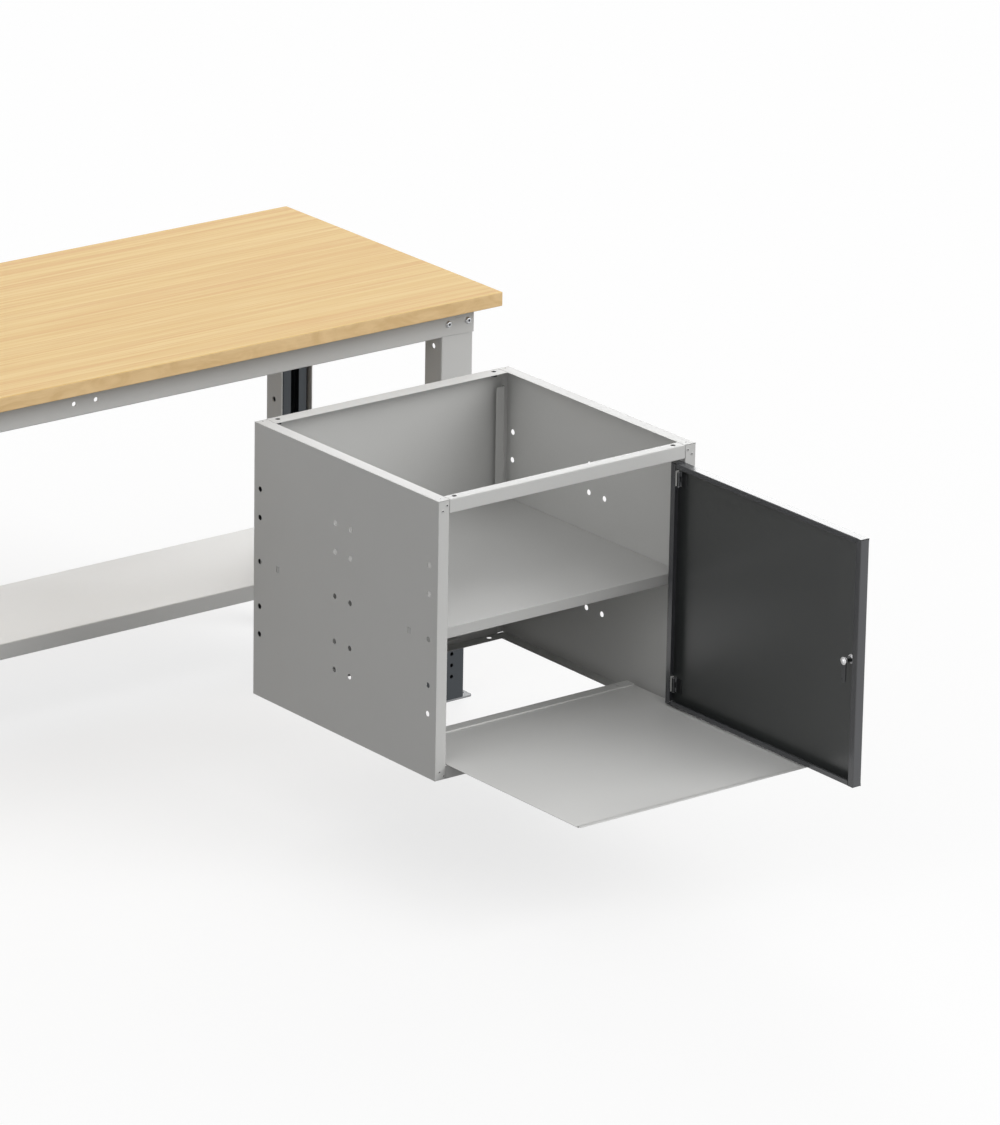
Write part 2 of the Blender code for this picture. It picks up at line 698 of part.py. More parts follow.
# Rear panel inside the rails and flanges, with a stiffening fold along each upright edge
panel_back = CAB_DEPTH - 2 * CAB_SHEET - 3 * FIT_GAP
panel_low = -CAB_HEIGHT + CAB_SHEET + FIT_GAP
panel_high = -CAB_SHEET - FIT_GAP
panel_height = panel_high - panel_low
panel_width = CAB_WIDTH - 2 * REAR_FOLD_SETBACK
fold_start = REAR_FOLD_TOP
fold_end = panel_height - REAR_FOLD_TOP
left_strip = (0, fold_end - fold_start, x_axis, REAR_FOLD_STRIP, ())
right_strip = (0, fold_end - fold_start, -x_axis, REAR_FOLD_STRIP, ())
corner = Vector((REAR_FOLD_SETBACK, panel_back, panel_low))
faces = panel_faces(corner, x_axis, z_axis, panel_width, panel_height, {
    "left": ((fold_start, fold_end, -y_axis, REAR_FOLD_DEPTH, (left_strip,)),),
    "right": ((fold_start, fold_end, -y_axis, REAR_FOLD_DEPTH, (right_strip,)),),
})
add_sheet("cabinet_rear_panel", faces, y_axis, CAB_SHEET, light_grey, cabinet)

# Cabinet shelf and its four clips
shelf_low = CAB_SHEET + INNER_SHELF_SIDE_GAP
shelf_span = CAB_WIDTH - 2 * shelf_low
corner = Vector((shelf_low, INNER_SHELF_SETBACK, -INNER_SHELF_DROP))
front_return = (0, shelf_span, y_axis, INNER_SHELF_RETURN, ())
rear_return = (0, shelf_span, -y_axis, INNER_SHELF_RETURN, ())
faces = panel_faces(corner, x_axis, y_axis, shelf_span, INNER_SHELF_DEPTH, {
    "bottom": ((0, shelf_span, -z_axis, INNER_SHELF_LIP, (front_return,)),),
    "top": ((0, shelf_span, -z_axis, INNER_SHELF_LIP, (rear_return,)),),
})
add_sheet("cabinet_shelf", faces, z_axis, CAB_SHEET, light_grey, cabinet)

clip_top = -INNER_SHELF_DROP - CAB_SHEET - FIT_GAP
clip_back = CAB_SHEET + FIT_GAP
tab_top = -INNER_SHELF_DROP - CLIP_SLOT_DROP
tab_low = tab_top - CLIP_SLOT_HEIGHT
clip_outline = (
    (clip_back, clip_top), (clip_back + CLIP_LEDGE, clip_top),
    (clip_back + CLIP_LEDGE, clip_top - CLIP_SHEET), (clip_back + CLIP_SHEET, clip_top - CLIP_SHEET),
    (clip_back + CLIP_SHEET, clip_top - CLIP_DROP), (clip_back, clip_top - CLIP_DROP),
    (clip_back, tab_low), (0, tab_low), (0, tab_top), (clip_back, tab_top),
)
for depth, end_name in zip(CLIP_DEPTHS, ("front", "rear")):
    for side, side_name in ((-1, "left"), (1, "right")):
        outline = clip_outline
        if side > 0:
            outline = [(CAB_WIDTH - across, height) for across, height in clip_outline]
        place = Matrix.Translation((0, depth + CLIP_WIDTH / 2, 0)) @ stand_up
        prism("shelf_clip_" + end_name + "_" + side_name, outline, place, CLIP_WIDTH, zinc, cabinet)

# Ledge at the back that carries the bottom plate when it is pushed home
ledge_back = panel_back - CAB_SHEET - FIT_GAP
ledge_front = ledge_back - PLATE_LEDGE
ledge_inside = ledge_back - PLATE_LEDGE_SHEET
ledge_under = sill_top - PLATE_LEDGE_SHEET
outline = (
    (ledge_back, sill_top), (ledge_front, sill_top),
    (ledge_front, ledge_under), (ledge_inside, ledge_under),
    (ledge_inside, sill_top - PLATE_LEDGE_DROP), (ledge_back, sill_top - PLATE_LEDGE_DROP),
)
place = Matrix.Translation(((CAB_WIDTH - PLATE_LEDGE_LENGTH) / 2, 0, 0)) @ lay_across
prism("plate_ledge", outline, place, PLATE_LEDGE_LENGTH, light_grey, cabinet)

# Bottom plate: its front and rear lips are stepped up, and it slides on the sill
plate_place = Vector((CAB_WIDTH / 2, PLATE_HOME - PLATE_DRAWN_OUT, sill_top))
plate_slide = add_empty("plate_slide", Matrix.Translation(plate_place), cabinet)
plate_width = CAB_WIDTH - 2 * (POST_WIDTH + PLATE_SIDE_GAP)
plate_top = FIT_GAP + PLATE_SHEET
plate_inner = PLATE_DEPTH - PLATE_FRONT_LIP - PLATE_REAR_LIP
corner = Vector((-plate_width / 2, PLATE_FRONT_LIP, plate_top))
front_lip = (0, plate_width, -y_axis, PLATE_FRONT_LIP, ())
rear_lip = (0, plate_width, y_axis, PLATE_REAR_LIP, ())
faces = panel_faces(corner, x_axis, y_axis, plate_width, plate_inner, {
    "bottom": ((0, plate_width, z_axis, PLATE_STEP, (front_lip,)),),
    "top": ((0, plate_width, z_axis, PLATE_STEP, (rear_lip,)),),
})
plate = add_sheet("bottom_plate", faces, z_axis, PLATE_SHEET, light_grey, plate_slide)
plate_holes = []
for side in (-1, 1):
    hole_x = side * (plate_width / 2 - PLATE_HOLE_INSET)
    middle = Vector((hole_x, PLATE_DEPTH - PLATE_REAR_LIP / 2, plate_top + PLATE_STEP))
    plate_holes.append((middle, z_axis, PLATE_HOLE_RADIUS))
drill(plate, plate_holes, plate_slide)

# Door, modelled closed around its hinge axis and turned open with its empty
pivot = Vector((CAB_WIDTH - POST_WIDTH - DOOR_SIDE_GAP - PIVOT_FROM_EDGE, PIVOT_SETBACK,
                sill_top + DOOR_END_GAP + door_height / 2))
door_turn = Matrix.Translation(pivot) @ Matrix.Rotation(math.radians(DOOR_OPEN_ANGLE), 4, "Z")
door = add_empty("door_axis", door_turn, cabinet)
door_left = -door_reach
door_face = -PIVOT_SETBACK
end_run = (FOLD_RELIEF, door_width - FOLD_RELIEF, y_axis, DOOR_DEPTH)
side_run = (FOLD_RELIEF, door_height - FOLD_RELIEF, y_axis, DOOR_DEPTH)
mitre = DOOR_FREE_LIP
end_length = door_width - 2 * FOLD_RELIEF
side_length = door_height - 2 * FOLD_RELIEF
corner = Vector((door_left, door_face, -door_height / 2))
faces = panel_faces(corner, x_axis, z_axis, door_width, door_height, {
    "bottom": ((*end_run, ((mitre, end_length - mitre, z_axis, DOOR_LIP, ()),)),),
    "right": ((*side_run, ((0, side_length, -x_axis, DOOR_HINGE_LIP, ()),)),),
    "top": ((*end_run, ((mitre, end_length - mitre, -z_axis, DOOR_LIP, ()),)),),
    "left": ((*side_run, ((0, side_length, x_axis, DOOR_FREE_LIP, ()),)),),
})
door_panel = add_sheet("door_panel", faces, -y_axis, DOOR_SHEET, anthracite, door)
hinge_heights = (door_height / 2 - HINGE_OFFSET, -door_height / 2 + HINGE_OFFSET)
notches = bmesh.new()
for height in hinge_heights:
    half = HINGE_HEIGHT / 2 + HINGE_NOTCH_PLAY
    add_box(notches, (PIVOT_FROM_EDGE - HINGE_NOTCH_DEPTH, door_face - DOOR_SHEET, height - half),
            (PIVOT_FROM_EDGE + DOOR_SHEET, door_face + HINGE_NOTCH_SETBACK, height + half))
cut(door_panel, "door_panel_notches", notches, door)
lock_place = Vector((door_left + LOCK_SETBACK, door_face, -LOCK_DROP))
lock_hole = (lock_place, y_axis, LOCK_BODY_RADIUS + LOCK_HOLE_GAP)
drill(door_panel, [lock_hole], door, sides=ROUND_SIDES)

# Hinges: a leaf on the post with two knuckles, a leaf on the door with one, and a pin
post_gap = DOOR_SIDE_GAP + PIVOT_FROM_EDGE
knuckle = (HINGE_HEIGHT - HINGE_MIDDLE) / 2 - HINGE_PLAY
leaf_low = door_face + DOOR_SHEET + FIT_GAP
hinge_pivot = add_empty("hinge_pins", Matrix.Translation(pivot), cabinet)


def bore_hinge(leaf, height, parent):
    bore = bmesh.new()
    add_turned(bore, (0, 0, height - HINGE_HEIGHT), z_axis,
               ((HINGE_BORE_RADIUS, 0), (HINGE_BORE_RADIUS, 2 * HINGE_HEIGHT)))
    cut(leaf, leaf.name + "_bore", bore, parent)


def add_knuckle(leaf, index, low, reach, parent):
    barrel = bmesh.new()
    profile = ((HINGE_BARREL_RADIUS, 0), (HINGE_BARREL_RADIUS, reach))
    add_turned(barrel, (0, 0, low), z_axis, profile, ROUND_SIDES)
    cut(leaf, leaf.name + "_knuckle" + str(index), barrel, parent, "UNION")


def add_neck(leaf, index, low_corner, high_corner, parent):
    neck = bmesh.new()
    add_box(neck, low_corner, high_corner)
    cut(leaf, leaf.name + "_neck" + str(index), neck, parent, "UNION")


for height, end_name in zip(hinge_heights, ("upper", "lower")):
    low = height - HINGE_HEIGHT / 2
    high = height + HINGE_HEIGHT / 2
    plate_inside = post_gap - FIT_GAP - HINGE_SHEET
    neck_half = HINGE_SHEET / 2
    shape = bmesh.new()
    plate_front = -PIVOT_SETBACK + CAB_SHEET + 2 * FIT_GAP
    add_box(shape, (plate_inside, plate_front, low),
            (post_gap - FIT_GAP, plate_front + HINGE_POST_PLATE, high))
    post_leaf = add_object(end_name + "_hinge_post_leaf", shape, zinc, hinge_pivot)
    for index, start in enumerate((low, high - knuckle)):
        add_neck(post_leaf, index, (0, -neck_half, start),
                 (plate_inside + HINGE_SHEET / 2, neck_half, start + knuckle), hinge_pivot)
        add_knuckle(post_leaf, index, start, knuckle, hinge_pivot)
    bore_hinge(post_leaf, height, hinge_pivot)

    middle_low = height - HINGE_MIDDLE / 2
    shape = bmesh.new()
    leaf_edge = -HINGE_BARREL_RADIUS - HINGE_SHEET
    add_box(shape, (leaf_edge - HINGE_LEAF, leaf_low, low), (leaf_edge, leaf_low + HINGE_SHEET, high))
    door_leaf = add_object(end_name + "_hinge_door_leaf", shape, zinc, door)
    add_neck(door_leaf, 0, (leaf_edge - HINGE_SHEET, leaf_low, middle_low),
             (0, leaf_low + 2 * HINGE_SHEET, middle_low + HINGE_MIDDLE), door)
    add_knuckle(door_leaf, 0, middle_low, HINGE_MIDDLE, door)
    bore_hinge(door_leaf, height, door)

    shape = bmesh.new()
    add_turned(shape, (0, 0, low - FIT_GAP), z_axis, (
        (HINGE_PIN_HEAD_RADIUS, -HINGE_PIN_HEAD_HEIGHT),
        (HINGE_PIN_HEAD_RADIUS, 0),
        (HINGE_PIN_RADIUS, 0),
        (HINGE_PIN_RADIUS, HINGE_HEIGHT + 2 * FIT_GAP),
        (HINGE_PIN_HEAD_RADIUS, HINGE_HEIGHT + 2 * FIT_GAP),
        (HINGE_PIN_HEAD_RADIUS, HINGE_HEIGHT + 2 * FIT_GAP + HINGE_PIN_HEAD_HEIGHT),
    ))
    add_object(end_name + "_hinge_pin", shape, steel, hinge_pivot)

# Cam lock: housing and nut on the door, plug and cam that turn in it
body_end = DOOR_DEPTH + FIT_GAP
plug_bore = LOCK_PLUG_RADIUS + LOCK_PLUG_GAP
shape = bmesh.new()
add_ring(shape, lock_place - y_axis * FIT_GAP, y_axis, (
    (plug_bore, body_end),
    (plug_bore, -LOCK_FACE_HEIGHT),
    (LOCK_FACE_RADIUS - LOCK_FACE_BEVEL, -LOCK_FACE_HEIGHT),
    (LOCK_FACE_RADIUS, LOCK_FACE_BEVEL - LOCK_FACE_HEIGHT),
    (LOCK_FACE_RADIUS, 0),
    (LOCK_BODY_RADIUS, 0),
    (LOCK_BODY_RADIUS, body_end),
), ROUND_SIDES)
add_object("lock_housing", shape, chrome, door)

shape = bmesh.new()
nut_bore = LOCK_BODY_RADIUS + NUT_BORE_GAP
add_ring(shape, lock_place + y_axis * (DOOR_SHEET + FIT_GAP), y_axis, (
    (nut_bore, 0),
    (LOCK_NUT_RADIUS, 0),
    (LOCK_NUT_RADIUS, LOCK_NUT_HEIGHT),
    (nut_bore, LOCK_NUT_HEIGHT),
), ROUND_SIDES)
add_object("lock_nut", shape, chrome, door)

lock = add_empty("lock_axis", Matrix.Translation(lock_place), door)
cam_seat = body_end + FIT_GAP
cam_end = cam_seat + CAM_SHEET
shape = bmesh.new()
add_turned(shape, (0, 0, 0), y_axis, (
    (LOCK_PLUG_RADIUS, -LOCK_FACE_HEIGHT - FIT_GAP),
    (LOCK_PLUG_RADIUS, cam_seat - FIT_GAP),
    (LOCK_STUD_RADIUS, cam_seat - FIT_GAP),
    (LOCK_STUD_RADIUS, cam_end + CAM_NUT_HEIGHT + 2 * FIT_GAP),
), ROUND_SIDES)
plug = add_object("lock_plug", shape, chrome, lock)
key = bmesh.new()
key_front = -LOCK_FACE_HEIGHT - FIT_GAP
add_box(key, (-LOCK_KEY_WIDTH / 2, key_front - LOCK_KEY_DEPTH, -LOCK_KEY_LENGTH / 2),
        (LOCK_KEY_WIDTH / 2, key_front + LOCK_KEY_DEPTH, LOCK_KEY_LENGTH / 2))
cut(plug, "lock_plug_keyway", key, lock)

# The cam hangs down when unlocked and points at the post when locked
cam_middle = CAM_LENGTH / 2 - CAM_WIDTH / 2
cam_place = Matrix.Translation((0, cam_end, -cam_middle)) @ stand_up
cam_outline = rounded_outline(CAM_WIDTH, CAM_LENGTH, CAM_WIDTH / 2 - FIT_GAP)
cam = prism("lock_cam", cam_outline, cam_place, CAM_SHEET, black_oxide, lock)
stud_hole = (Vector((0, cam_seat + CAM_SHEET / 2, 0)), y_axis, LOCK_STUD_RADIUS + FIT_GAP)
drill(cam, [stud_hole], lock)
shape = bmesh.new()
stud_bore = LOCK_STUD_RADIUS + NUT_BORE_GAP
add_ring(shape, (0, cam_end + FIT_GAP, 0), y_axis, (
    (stud_bore, 0),
    (CAM_NUT_RADIUS, 0),
    (CAM_NUT_RADIUS, CAM_NUT_HEIGHT),
    (stud_bore, CAM_NUT_HEIGHT),
))
add_object("lock_cam_nut", shape, chrome, lock)
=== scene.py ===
# Workbench with a drawn-out steel cabinet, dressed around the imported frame.
import json
import math

import bmesh
import bpy
from mathutils import Matrix, Vector


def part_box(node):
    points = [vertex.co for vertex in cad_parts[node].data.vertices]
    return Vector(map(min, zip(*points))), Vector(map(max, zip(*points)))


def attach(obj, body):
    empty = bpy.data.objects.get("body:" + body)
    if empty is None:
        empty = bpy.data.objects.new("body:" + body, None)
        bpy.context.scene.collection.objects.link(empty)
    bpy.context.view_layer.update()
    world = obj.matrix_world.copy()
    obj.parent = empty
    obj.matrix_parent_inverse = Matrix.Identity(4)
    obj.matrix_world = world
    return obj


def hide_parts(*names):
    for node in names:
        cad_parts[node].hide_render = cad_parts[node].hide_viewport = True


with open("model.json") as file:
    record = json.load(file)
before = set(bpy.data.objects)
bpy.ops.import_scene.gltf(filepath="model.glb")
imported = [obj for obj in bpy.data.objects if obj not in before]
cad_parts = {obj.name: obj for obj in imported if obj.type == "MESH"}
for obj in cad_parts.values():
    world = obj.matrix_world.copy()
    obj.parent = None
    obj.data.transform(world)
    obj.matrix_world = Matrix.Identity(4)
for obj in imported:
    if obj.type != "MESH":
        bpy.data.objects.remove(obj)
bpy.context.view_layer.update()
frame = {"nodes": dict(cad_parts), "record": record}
scene = bpy.context.scene
scene.view_settings.view_transform = "Standard"
bodyOf = {}
for bodyName, members in frame["record"]["behaviour"]["bodies"].items():
    for member in members:
        bodyOf[member] = bodyName
print("frame loaded,", len(bodyOf), "nodes")

# camera, at the photograph's angle
cameraSet = {
    "place": (-7.64555, -10.79278, 5.21779),
    "azimuth": 37.966,
    "elevation": 19.2613,
    "roll": 0.9883,
    "lens": 230.676,
    "sensor": 36.0,
    "clip": (0.5, 200.0),
}


def addCamera(use):
    turns = (math.radians(use[key]) for key in ("azimuth", "elevation", "roll"))
    azimuth, elevation, roll = turns
    ahead = Vector((
        math.sin(azimuth) * math.cos(elevation),
        math.cos(azimuth) * math.cos(elevation),
        -math.sin(elevation),
    ))
    side = ahead.cross(Vector((0, 0, 1))).normalized()
    turn = Matrix.Rotation(-roll, 3, ahead)
    side = turn @ side
    above = side.cross(ahead)  # the picture's own upright
    data = bpy.data.cameras.new("photoCamera")
    data.lens = use["lens"]
    data.sensor_width = use["sensor"]
    data.clip_start, data.clip_end = use["clip"]
    camera = bpy.data.objects.new("photoCamera", data)
    scene.collection.objects.link(camera)
    place = Matrix((side, above, -ahead)).transposed().to_4x4()
    place.translation = Vector(use["place"])
    camera.matrix_world = place
    scene.camera = camera


addCamera(cameraSet)
print("camera set")


# shader wiring: a socket that can stand in a sum, and one method for every other node
class Wire:
    def __init__(self, tree, socket=None):
        self.tree = tree
        self.socket = socket

    def node(self, kind, settings=None, inputs=None, out=0):
        made = self.tree.nodes.new(kind)
        for key, value in (settings or {}).items():
            if key == "stops":
                for number, (place, colour) in enumerate(value):
                    ramp = made.color_ramp.elements
                    stop = ramp[number] if number < len(ramp) else ramp.new(place)
                    stop.position = place
                    stop.color = (*colour, 1)
            else:
                setattr(made, key, value)
        for key, value in (inputs or {}).items():
            if isinstance(value, Wire):
                self.tree.links.new(value.socket, made.inputs[key])
            else:
                made.inputs[key].default_value = value
        return Wire(self.tree, made.outputs[out] if made.outputs else None)

    def sum(self, operation, first, second):
        return self.node("ShaderNodeMath", {"operation": operation}, {0: first, 1: second})

    def __add__(self, other):
        return self.sum("ADD", self, other)

    def __radd__(self, other):
        return self.sum("ADD", other, self)

    def __sub__(self, other):
        return self.sum("SUBTRACT", self, other)

    def __rsub__(self, other):
        return self.sum("SUBTRACT", other, self)

    def __mul__(self, other):
        return self.sum("MULTIPLY", self, other)

    def __rmul__(self, other):
        return self.sum("MULTIPLY", other, self)

    def __gt__(self, other):
        return self.sum("GREATER_THAN", self, other)


def startMaterial(name):
    material = bpy.data.materials.new(name)
    material.use_nodes = True
    tree = material.node_tree
    tree.nodes.clear()
    return material, Wire(tree)


def endMaterial(wire, inputs):
    shader = wire.node("ShaderNodeBsdfPrincipled", {}, inputs)
    wire.node("ShaderNodeOutputMaterial", {}, {"Surface": shader})


def mixColours(wire, factor, first, second):
    settings = {"data_type": "RGBA", "blend_type": "MIX"}
    return wire.node("ShaderNodeMix", settings, {0: factor, 6: first, 7: second}, 2)


def noiseAt(wire, where, scale, detail, bend=0.0):
    inputs = {"Vector": where, "Scale": scale, "Detail": detail, "Distortion": bend}
    return wire.node("ShaderNodeTexNoise", {}, inputs)


# a noise's swing to either side of its middle
def swing(noise, amount):
    return (noise - 0.5) * amount


def stretched(wire, where, scale, turn=(0, 0, 0)):
    return wire.node("ShaderNodeMapping", {}, {"Vector": where, "Scale": scale, "Rotation": turn})


def objectPlace(wire):
    return wire.node("ShaderNodeTexCoord", {}, {}, "Object")


# where a surface looks to -x and lies deeper than a given place, as inside the door's pan, which
# the coat darkens there as painted shade
def panMask(wire, place, use):
    across = wire.node("ShaderNodeSeparateXYZ", {}, {"Vector": place}, "X")
    facing = wire.node("ShaderNodeTexCoord", {}, {}, "Normal")
    turned = wire.node("ShaderNodeSeparateXYZ", {}, {"Vector": facing}, "X")
    return (across > use["deep"]) * (0 - turned > use["facing"])


# powder coat: orange peel, fine speckle and a faint cloud in tone
def powderCoat(name, use):
    material, wire = startMaterial(name)
    place = objectPlace(wire)
    peel = noiseAt(wire, place, use["peelScale"], detail=2)
    speckle = noiseAt(wire, place, use["speckleScale"], detail=1)
    cloud = noiseAt(wire, place, use["cloudScale"], detail=3)
    tone = swing(cloud, use["cloud"]) + swing(speckle, use["speckle"]) + 0.5
    colour = mixColours(wire, tone, (*use["dark"], 1), (*use["light"], 1))
    roughness = swing(cloud, use["roughSpread"]) + swing(peel, use["peelRough"])
    roughness = roughness + use["roughness"]
    # where asked, painted shade: a darker colour inside the door's pan, where the recess lies in
    # shade, and a rougher finish there
    if "panShade" in use:
        inside = panMask(wire, place, use["panShade"])
        colour = mixColours(wire, inside, colour, (*use["panShade"]["colour"], 1))
        roughness = inside * use["panShade"]["flatter"] + roughness
    bump = wire.node("ShaderNodeBump", {}, {
        "Strength": use["bump"], "Distance": use["peelDepth"], "Height": peel,
    })
    endMaterial(wire, {
        "Base Color": colour,
        "Roughness": roughness,
        "IOR": use["ior"],
        "Normal": bump,
    })
    return material


# what the coats share, then the darker and the finer ones
coatBase = {
    "peelScale": 620.0,
    "peelDepth": 0.0004,
    "peelRough": 0.08,
    "bump": 0.16,
    "speckleScale": 1500.0,
    "speckle": 0.8,
    "cloudScale": 5.0,
    "cloud": 0.7,
    "roughness": 0.46,
    "roughSpread": 0.10,
    "ior": 1.45,
}
darkBase = {
    **coatBase,
    "peelScale": 700.0,
    "peelDepth": 0.0003,
    "bump": 0.10,
    "speckleScale": 1700.0,
    "speckle": 0.9,
    "cloudScale": 6.0,
    "cloud": 0.8,
}
fineBase = {
    **darkBase,
    "peelScale": 1500.0,
    "peelDepth": 0.0001,
    "speckleScale": 3000.0,
    "cloudScale": 60.0,
}
lightGrey = powderCoat("lightGreyPowderCoat", {
    **coatBase,
    "light": (0.640, 0.640, 0.628),
    "dark": (0.580, 0.580, 0.568),
})
anthracite = powderCoat("anthracitePowderCoat", {
    **darkBase,
    "light": (0.050, 0.052, 0.058),
    "dark": (0.038, 0.040, 0.046),
    # painted shade: the pan's inside is darker, as the recess lies in shade
    "panShade": {"deep": 0.840, "facing": 0.5, "colour": (0.030, 0.033, 0.033), "flatter": 0.12},
    "roughness": 0.24,
    "roughSpread": 0.06,
    "ior": 1.75,
})
# painted shade: a darker copy of the light grey, for the cabinet's rear panel and shelf, which lie
# in shade inside the cabinet
paintedShadeGrey = powderCoat("paintedShadeGreyCoat", {
    **coatBase,
    "light": (0.560, 0.560, 0.549),
    "dark": (0.505, 0.505, 0.494),
})
# painted light: a paler copy of the light grey, for the bottom plate and the lower shelf, to make
# them look more brightly lit than the lamps leave them
paintedLightCoat = powderCoat("paintedLightGreyCoat", {
    **coatBase,
    "light": (0.800, 0.800, 0.785),
    "dark": (0.750, 0.750, 0.735),
})
camCoat = powderCoat("blackenedSteel", {
    **fineBase,
    "light": (0.050, 0.052, 0.056),
    "dark": (0.040, 0.042, 0.046),
    "roughness": 0.30,
    "ior": 1.7,
})
clipZinc = powderCoat("passivatedClipZinc", {
    **fineBase,
    "light": (0.570, 0.572, 0.566),
    "dark": (0.500, 0.503, 0.498),
    "peelScale": 900.0,
    "peelDepth": 0.0002,
    "speckleScale": 1800.0,
    "speckle": 0.8,
    "cloudScale": 40.0,
    "cloud": 0.9,
    "roughness": 0.40,
    "ior": 1.6,
})
legCoat = powderCoat("anthraciteLegCoat", {
    **darkBase,
    "light": (0.036, 0.044, 0.052),
    "dark": (0.027, 0.034, 0.041),
    "roughness": 0.36,
    "roughSpread": 0.08,
    "ior": 1.5,
})
# black oxide, dark also as painted shade: for the rivets' pins, darkening their craters, and for
# the rivet nuts that darken the fixing holes
blackOxideShade = powderCoat("blackOxideShade", {
    **fineBase,
    "light": (0.026, 0.027, 0.030),
    "dark": (0.018, 0.019, 0.021),
    "roughness": 0.42,
    "ior": 1.5,
})


# plated and polished metal: brushed or clouded roughness under a clear reflection
def platedMetal(name, use):
    material, wire = startMaterial(name)
    place = objectPlace(wire)
    spangle = noiseAt(wire, place, use["spangleScale"], detail=2)
    scratch = noiseAt(wire, stretched(wire, place, use["scratch"]), 1.0, detail=3)
    colour = mixColours(wire, spangle, (*use["dark"], 1), (*use["light"], 1))
    bump = wire.node("ShaderNodeBump", {}, {
        "Strength": use["bump"], "Distance": use["scratchDepth"], "Height": scratch,
    })
    endMaterial(wire, {
        "Base Color": colour,
        "Metallic": 1.0,
        "Roughness": swing(scratch, use["roughSpread"]) + use["roughness"],
        "Normal": bump,
    })
    return material


metalBase = {"scratchDepth": 0.0002, "bump": 0.05}
zinc = platedMetal("zincPlate", {
    **metalBase,
    "light": (0.66, 0.67, 0.68),
    "dark": (0.52, 0.53, 0.55),
    "spangleScale": 220.0,
    "scratch": (2500.0, 400.0, 2500.0),
    "roughness": 0.34,
    "roughSpread": 0.16,
})
# painted shade: a darker copy of the zinc for the foot plates, standing in for the dark outline
# and contact shadow round them
shadedFootZinc = platedMetal("shadedFootZincPlate", {
    **metalBase,
    "light": (0.270, 0.274, 0.280),
    "dark": (0.210, 0.214, 0.220),
    "spangleScale": 180.0,
    "scratch": (1200.0, 1200.0, 1200.0),
    "roughness": 0.60,
    "roughSpread": 0.12,
})
dullZinc = platedMetal("dullZincPlate", {
    **metalBase,
    "light": (0.120, 0.123, 0.127),
    "dark": (0.090, 0.093, 0.097),
    "spangleScale": 260.0,
    "scratch": (2500.0, 2500.0, 400.0),
    "roughness": 0.42,
    "roughSpread": 0.12,
})
chrome = platedMetal("chromePlate", {
    **metalBase,
    "light": (0.80, 0.80, 0.81),
    "dark": (0.74, 0.74, 0.75),
    "spangleScale": 150.0,
    "scratch": (3000.0, 3000.0, 3000.0),
    "bump": 0.02,
    "roughness": 0.10,
    "roughSpread": 0.05,
})
satinChrome = platedMetal("satinChromePlate", {
    **metalBase,
    "light": (0.90, 0.90, 0.91),
    "dark": (0.84, 0.84, 0.85),
    "spangleScale": 150.0,
    "scratch": (3000.0, 3000.0, 3000.0),
    "bump": 0.03,
    "roughness": 0.38,
    "roughSpread": 0.08,
})
steel = platedMetal("bareSteel", {
    **metalBase,
    "light": (0.50, 0.50, 0.51),
    "dark": (0.40, 0.40, 0.41),
    "spangleScale": 300.0,
    "scratch": (900.0, 900.0, 5000.0),
    "bump": 0.06,
    "roughness": 0.36,
    "roughSpread": 0.14,
})

# beech: long soft streaks on the faces, and the figured edge
beechSet = {
    "pale": (0.820, 0.585, 0.240),
    "mid": (0.750, 0.500, 0.178),
    "warm": (0.695, 0.405, 0.128),
    "edgePale": (0.860, 0.615, 0.325),
    "edgeDark": (0.740, 0.505, 0.245),
    "staveWidth": 0.048,
    "bands": (0.50, 34.0, 24.0),
    "streaks": (1.5, 130.0, 80.0),
    "fibres": (4.5, 320.0, 220.0),
    "edgeBands": (11.0, 3.0, 26.0),
    "edgeTurn": 0.62,
    "staveShift": 3.0,
    "staveSpread": 0.04,
    "bandShare": 0.28,
    "streakShare": 0.44,
    "fibreShare": 0.28,
    "topStops": (0.41, 0.50, 0.58),
    "swirlDetail": 4,
    "swirlBend": 1.6,
    "swirlShare": 0.8,
    "edgeStops": (0.38, 0.60),
    "flatFrom": 0.6,
    "grainBump": 0.10,
    "grainDepth": 0.0003,
    "roughness": 0.58,
    "roughSpread": 0.14,
    "specular": 0.25,
}


# long streaks on the faces, each stave with its own shift and tone
def faceFigure(wire, place, fibres, use):
    axes = {}
    for axis in "XYZ":
        axes[axis] = wire.node("ShaderNodeSeparateXYZ", {}, {"Vector": place}, axis)
    across = axes["Y"] * (1 / use["staveWidth"])
    stave = wire.node("ShaderNodeMath", {"operation": "FLOOR"}, {0: across})
    staveTone = wire.node("ShaderNodeTexWhiteNoise", {"noise_dimensions": "1D"}, {"W": stave})
    shifted = wire.node("ShaderNodeCombineXYZ", {}, {
        "X": axes["X"] + staveTone * use["staveShift"], "Y": axes["Y"], "Z": axes["Z"],
    })
    bands = noiseAt(wire, stretched(wire, shifted, use["bands"]), 1.0, detail=3)
    streaks = noiseAt(wire, stretched(wire, shifted, use["streaks"]), 1.0, detail=3)
    tone = bands * use["bandShare"] + streaks * use["streakShare"] + fibres * use["fibreShare"]
    tone = tone + swing(staveTone, use["staveSpread"])
    stops = tuple(zip(use["topStops"], (use["warm"], use["mid"], use["pale"])))
    return wire.node("ShaderNodeValToRGB", {"stops": stops}, {"Fac": tone}), streaks


# the edge's broad figure, turned and bent
def edgeFigure(wire, place, fibres, use):
    turned = stretched(wire, place, use["edgeBands"], (0, use["edgeTurn"], 0))
    swirl = noiseAt(wire, turned, 1.0, use["swirlDetail"], use["swirlBend"])
    tone = swirl * use["swirlShare"] + fibres * (1 - use["swirlShare"])
    stops = tuple(zip(use["edgeStops"], (use["edgeDark"], use["edgePale"])))
    return wire.node("ShaderNodeValToRGB", {"stops": stops}, {"Fac": tone})


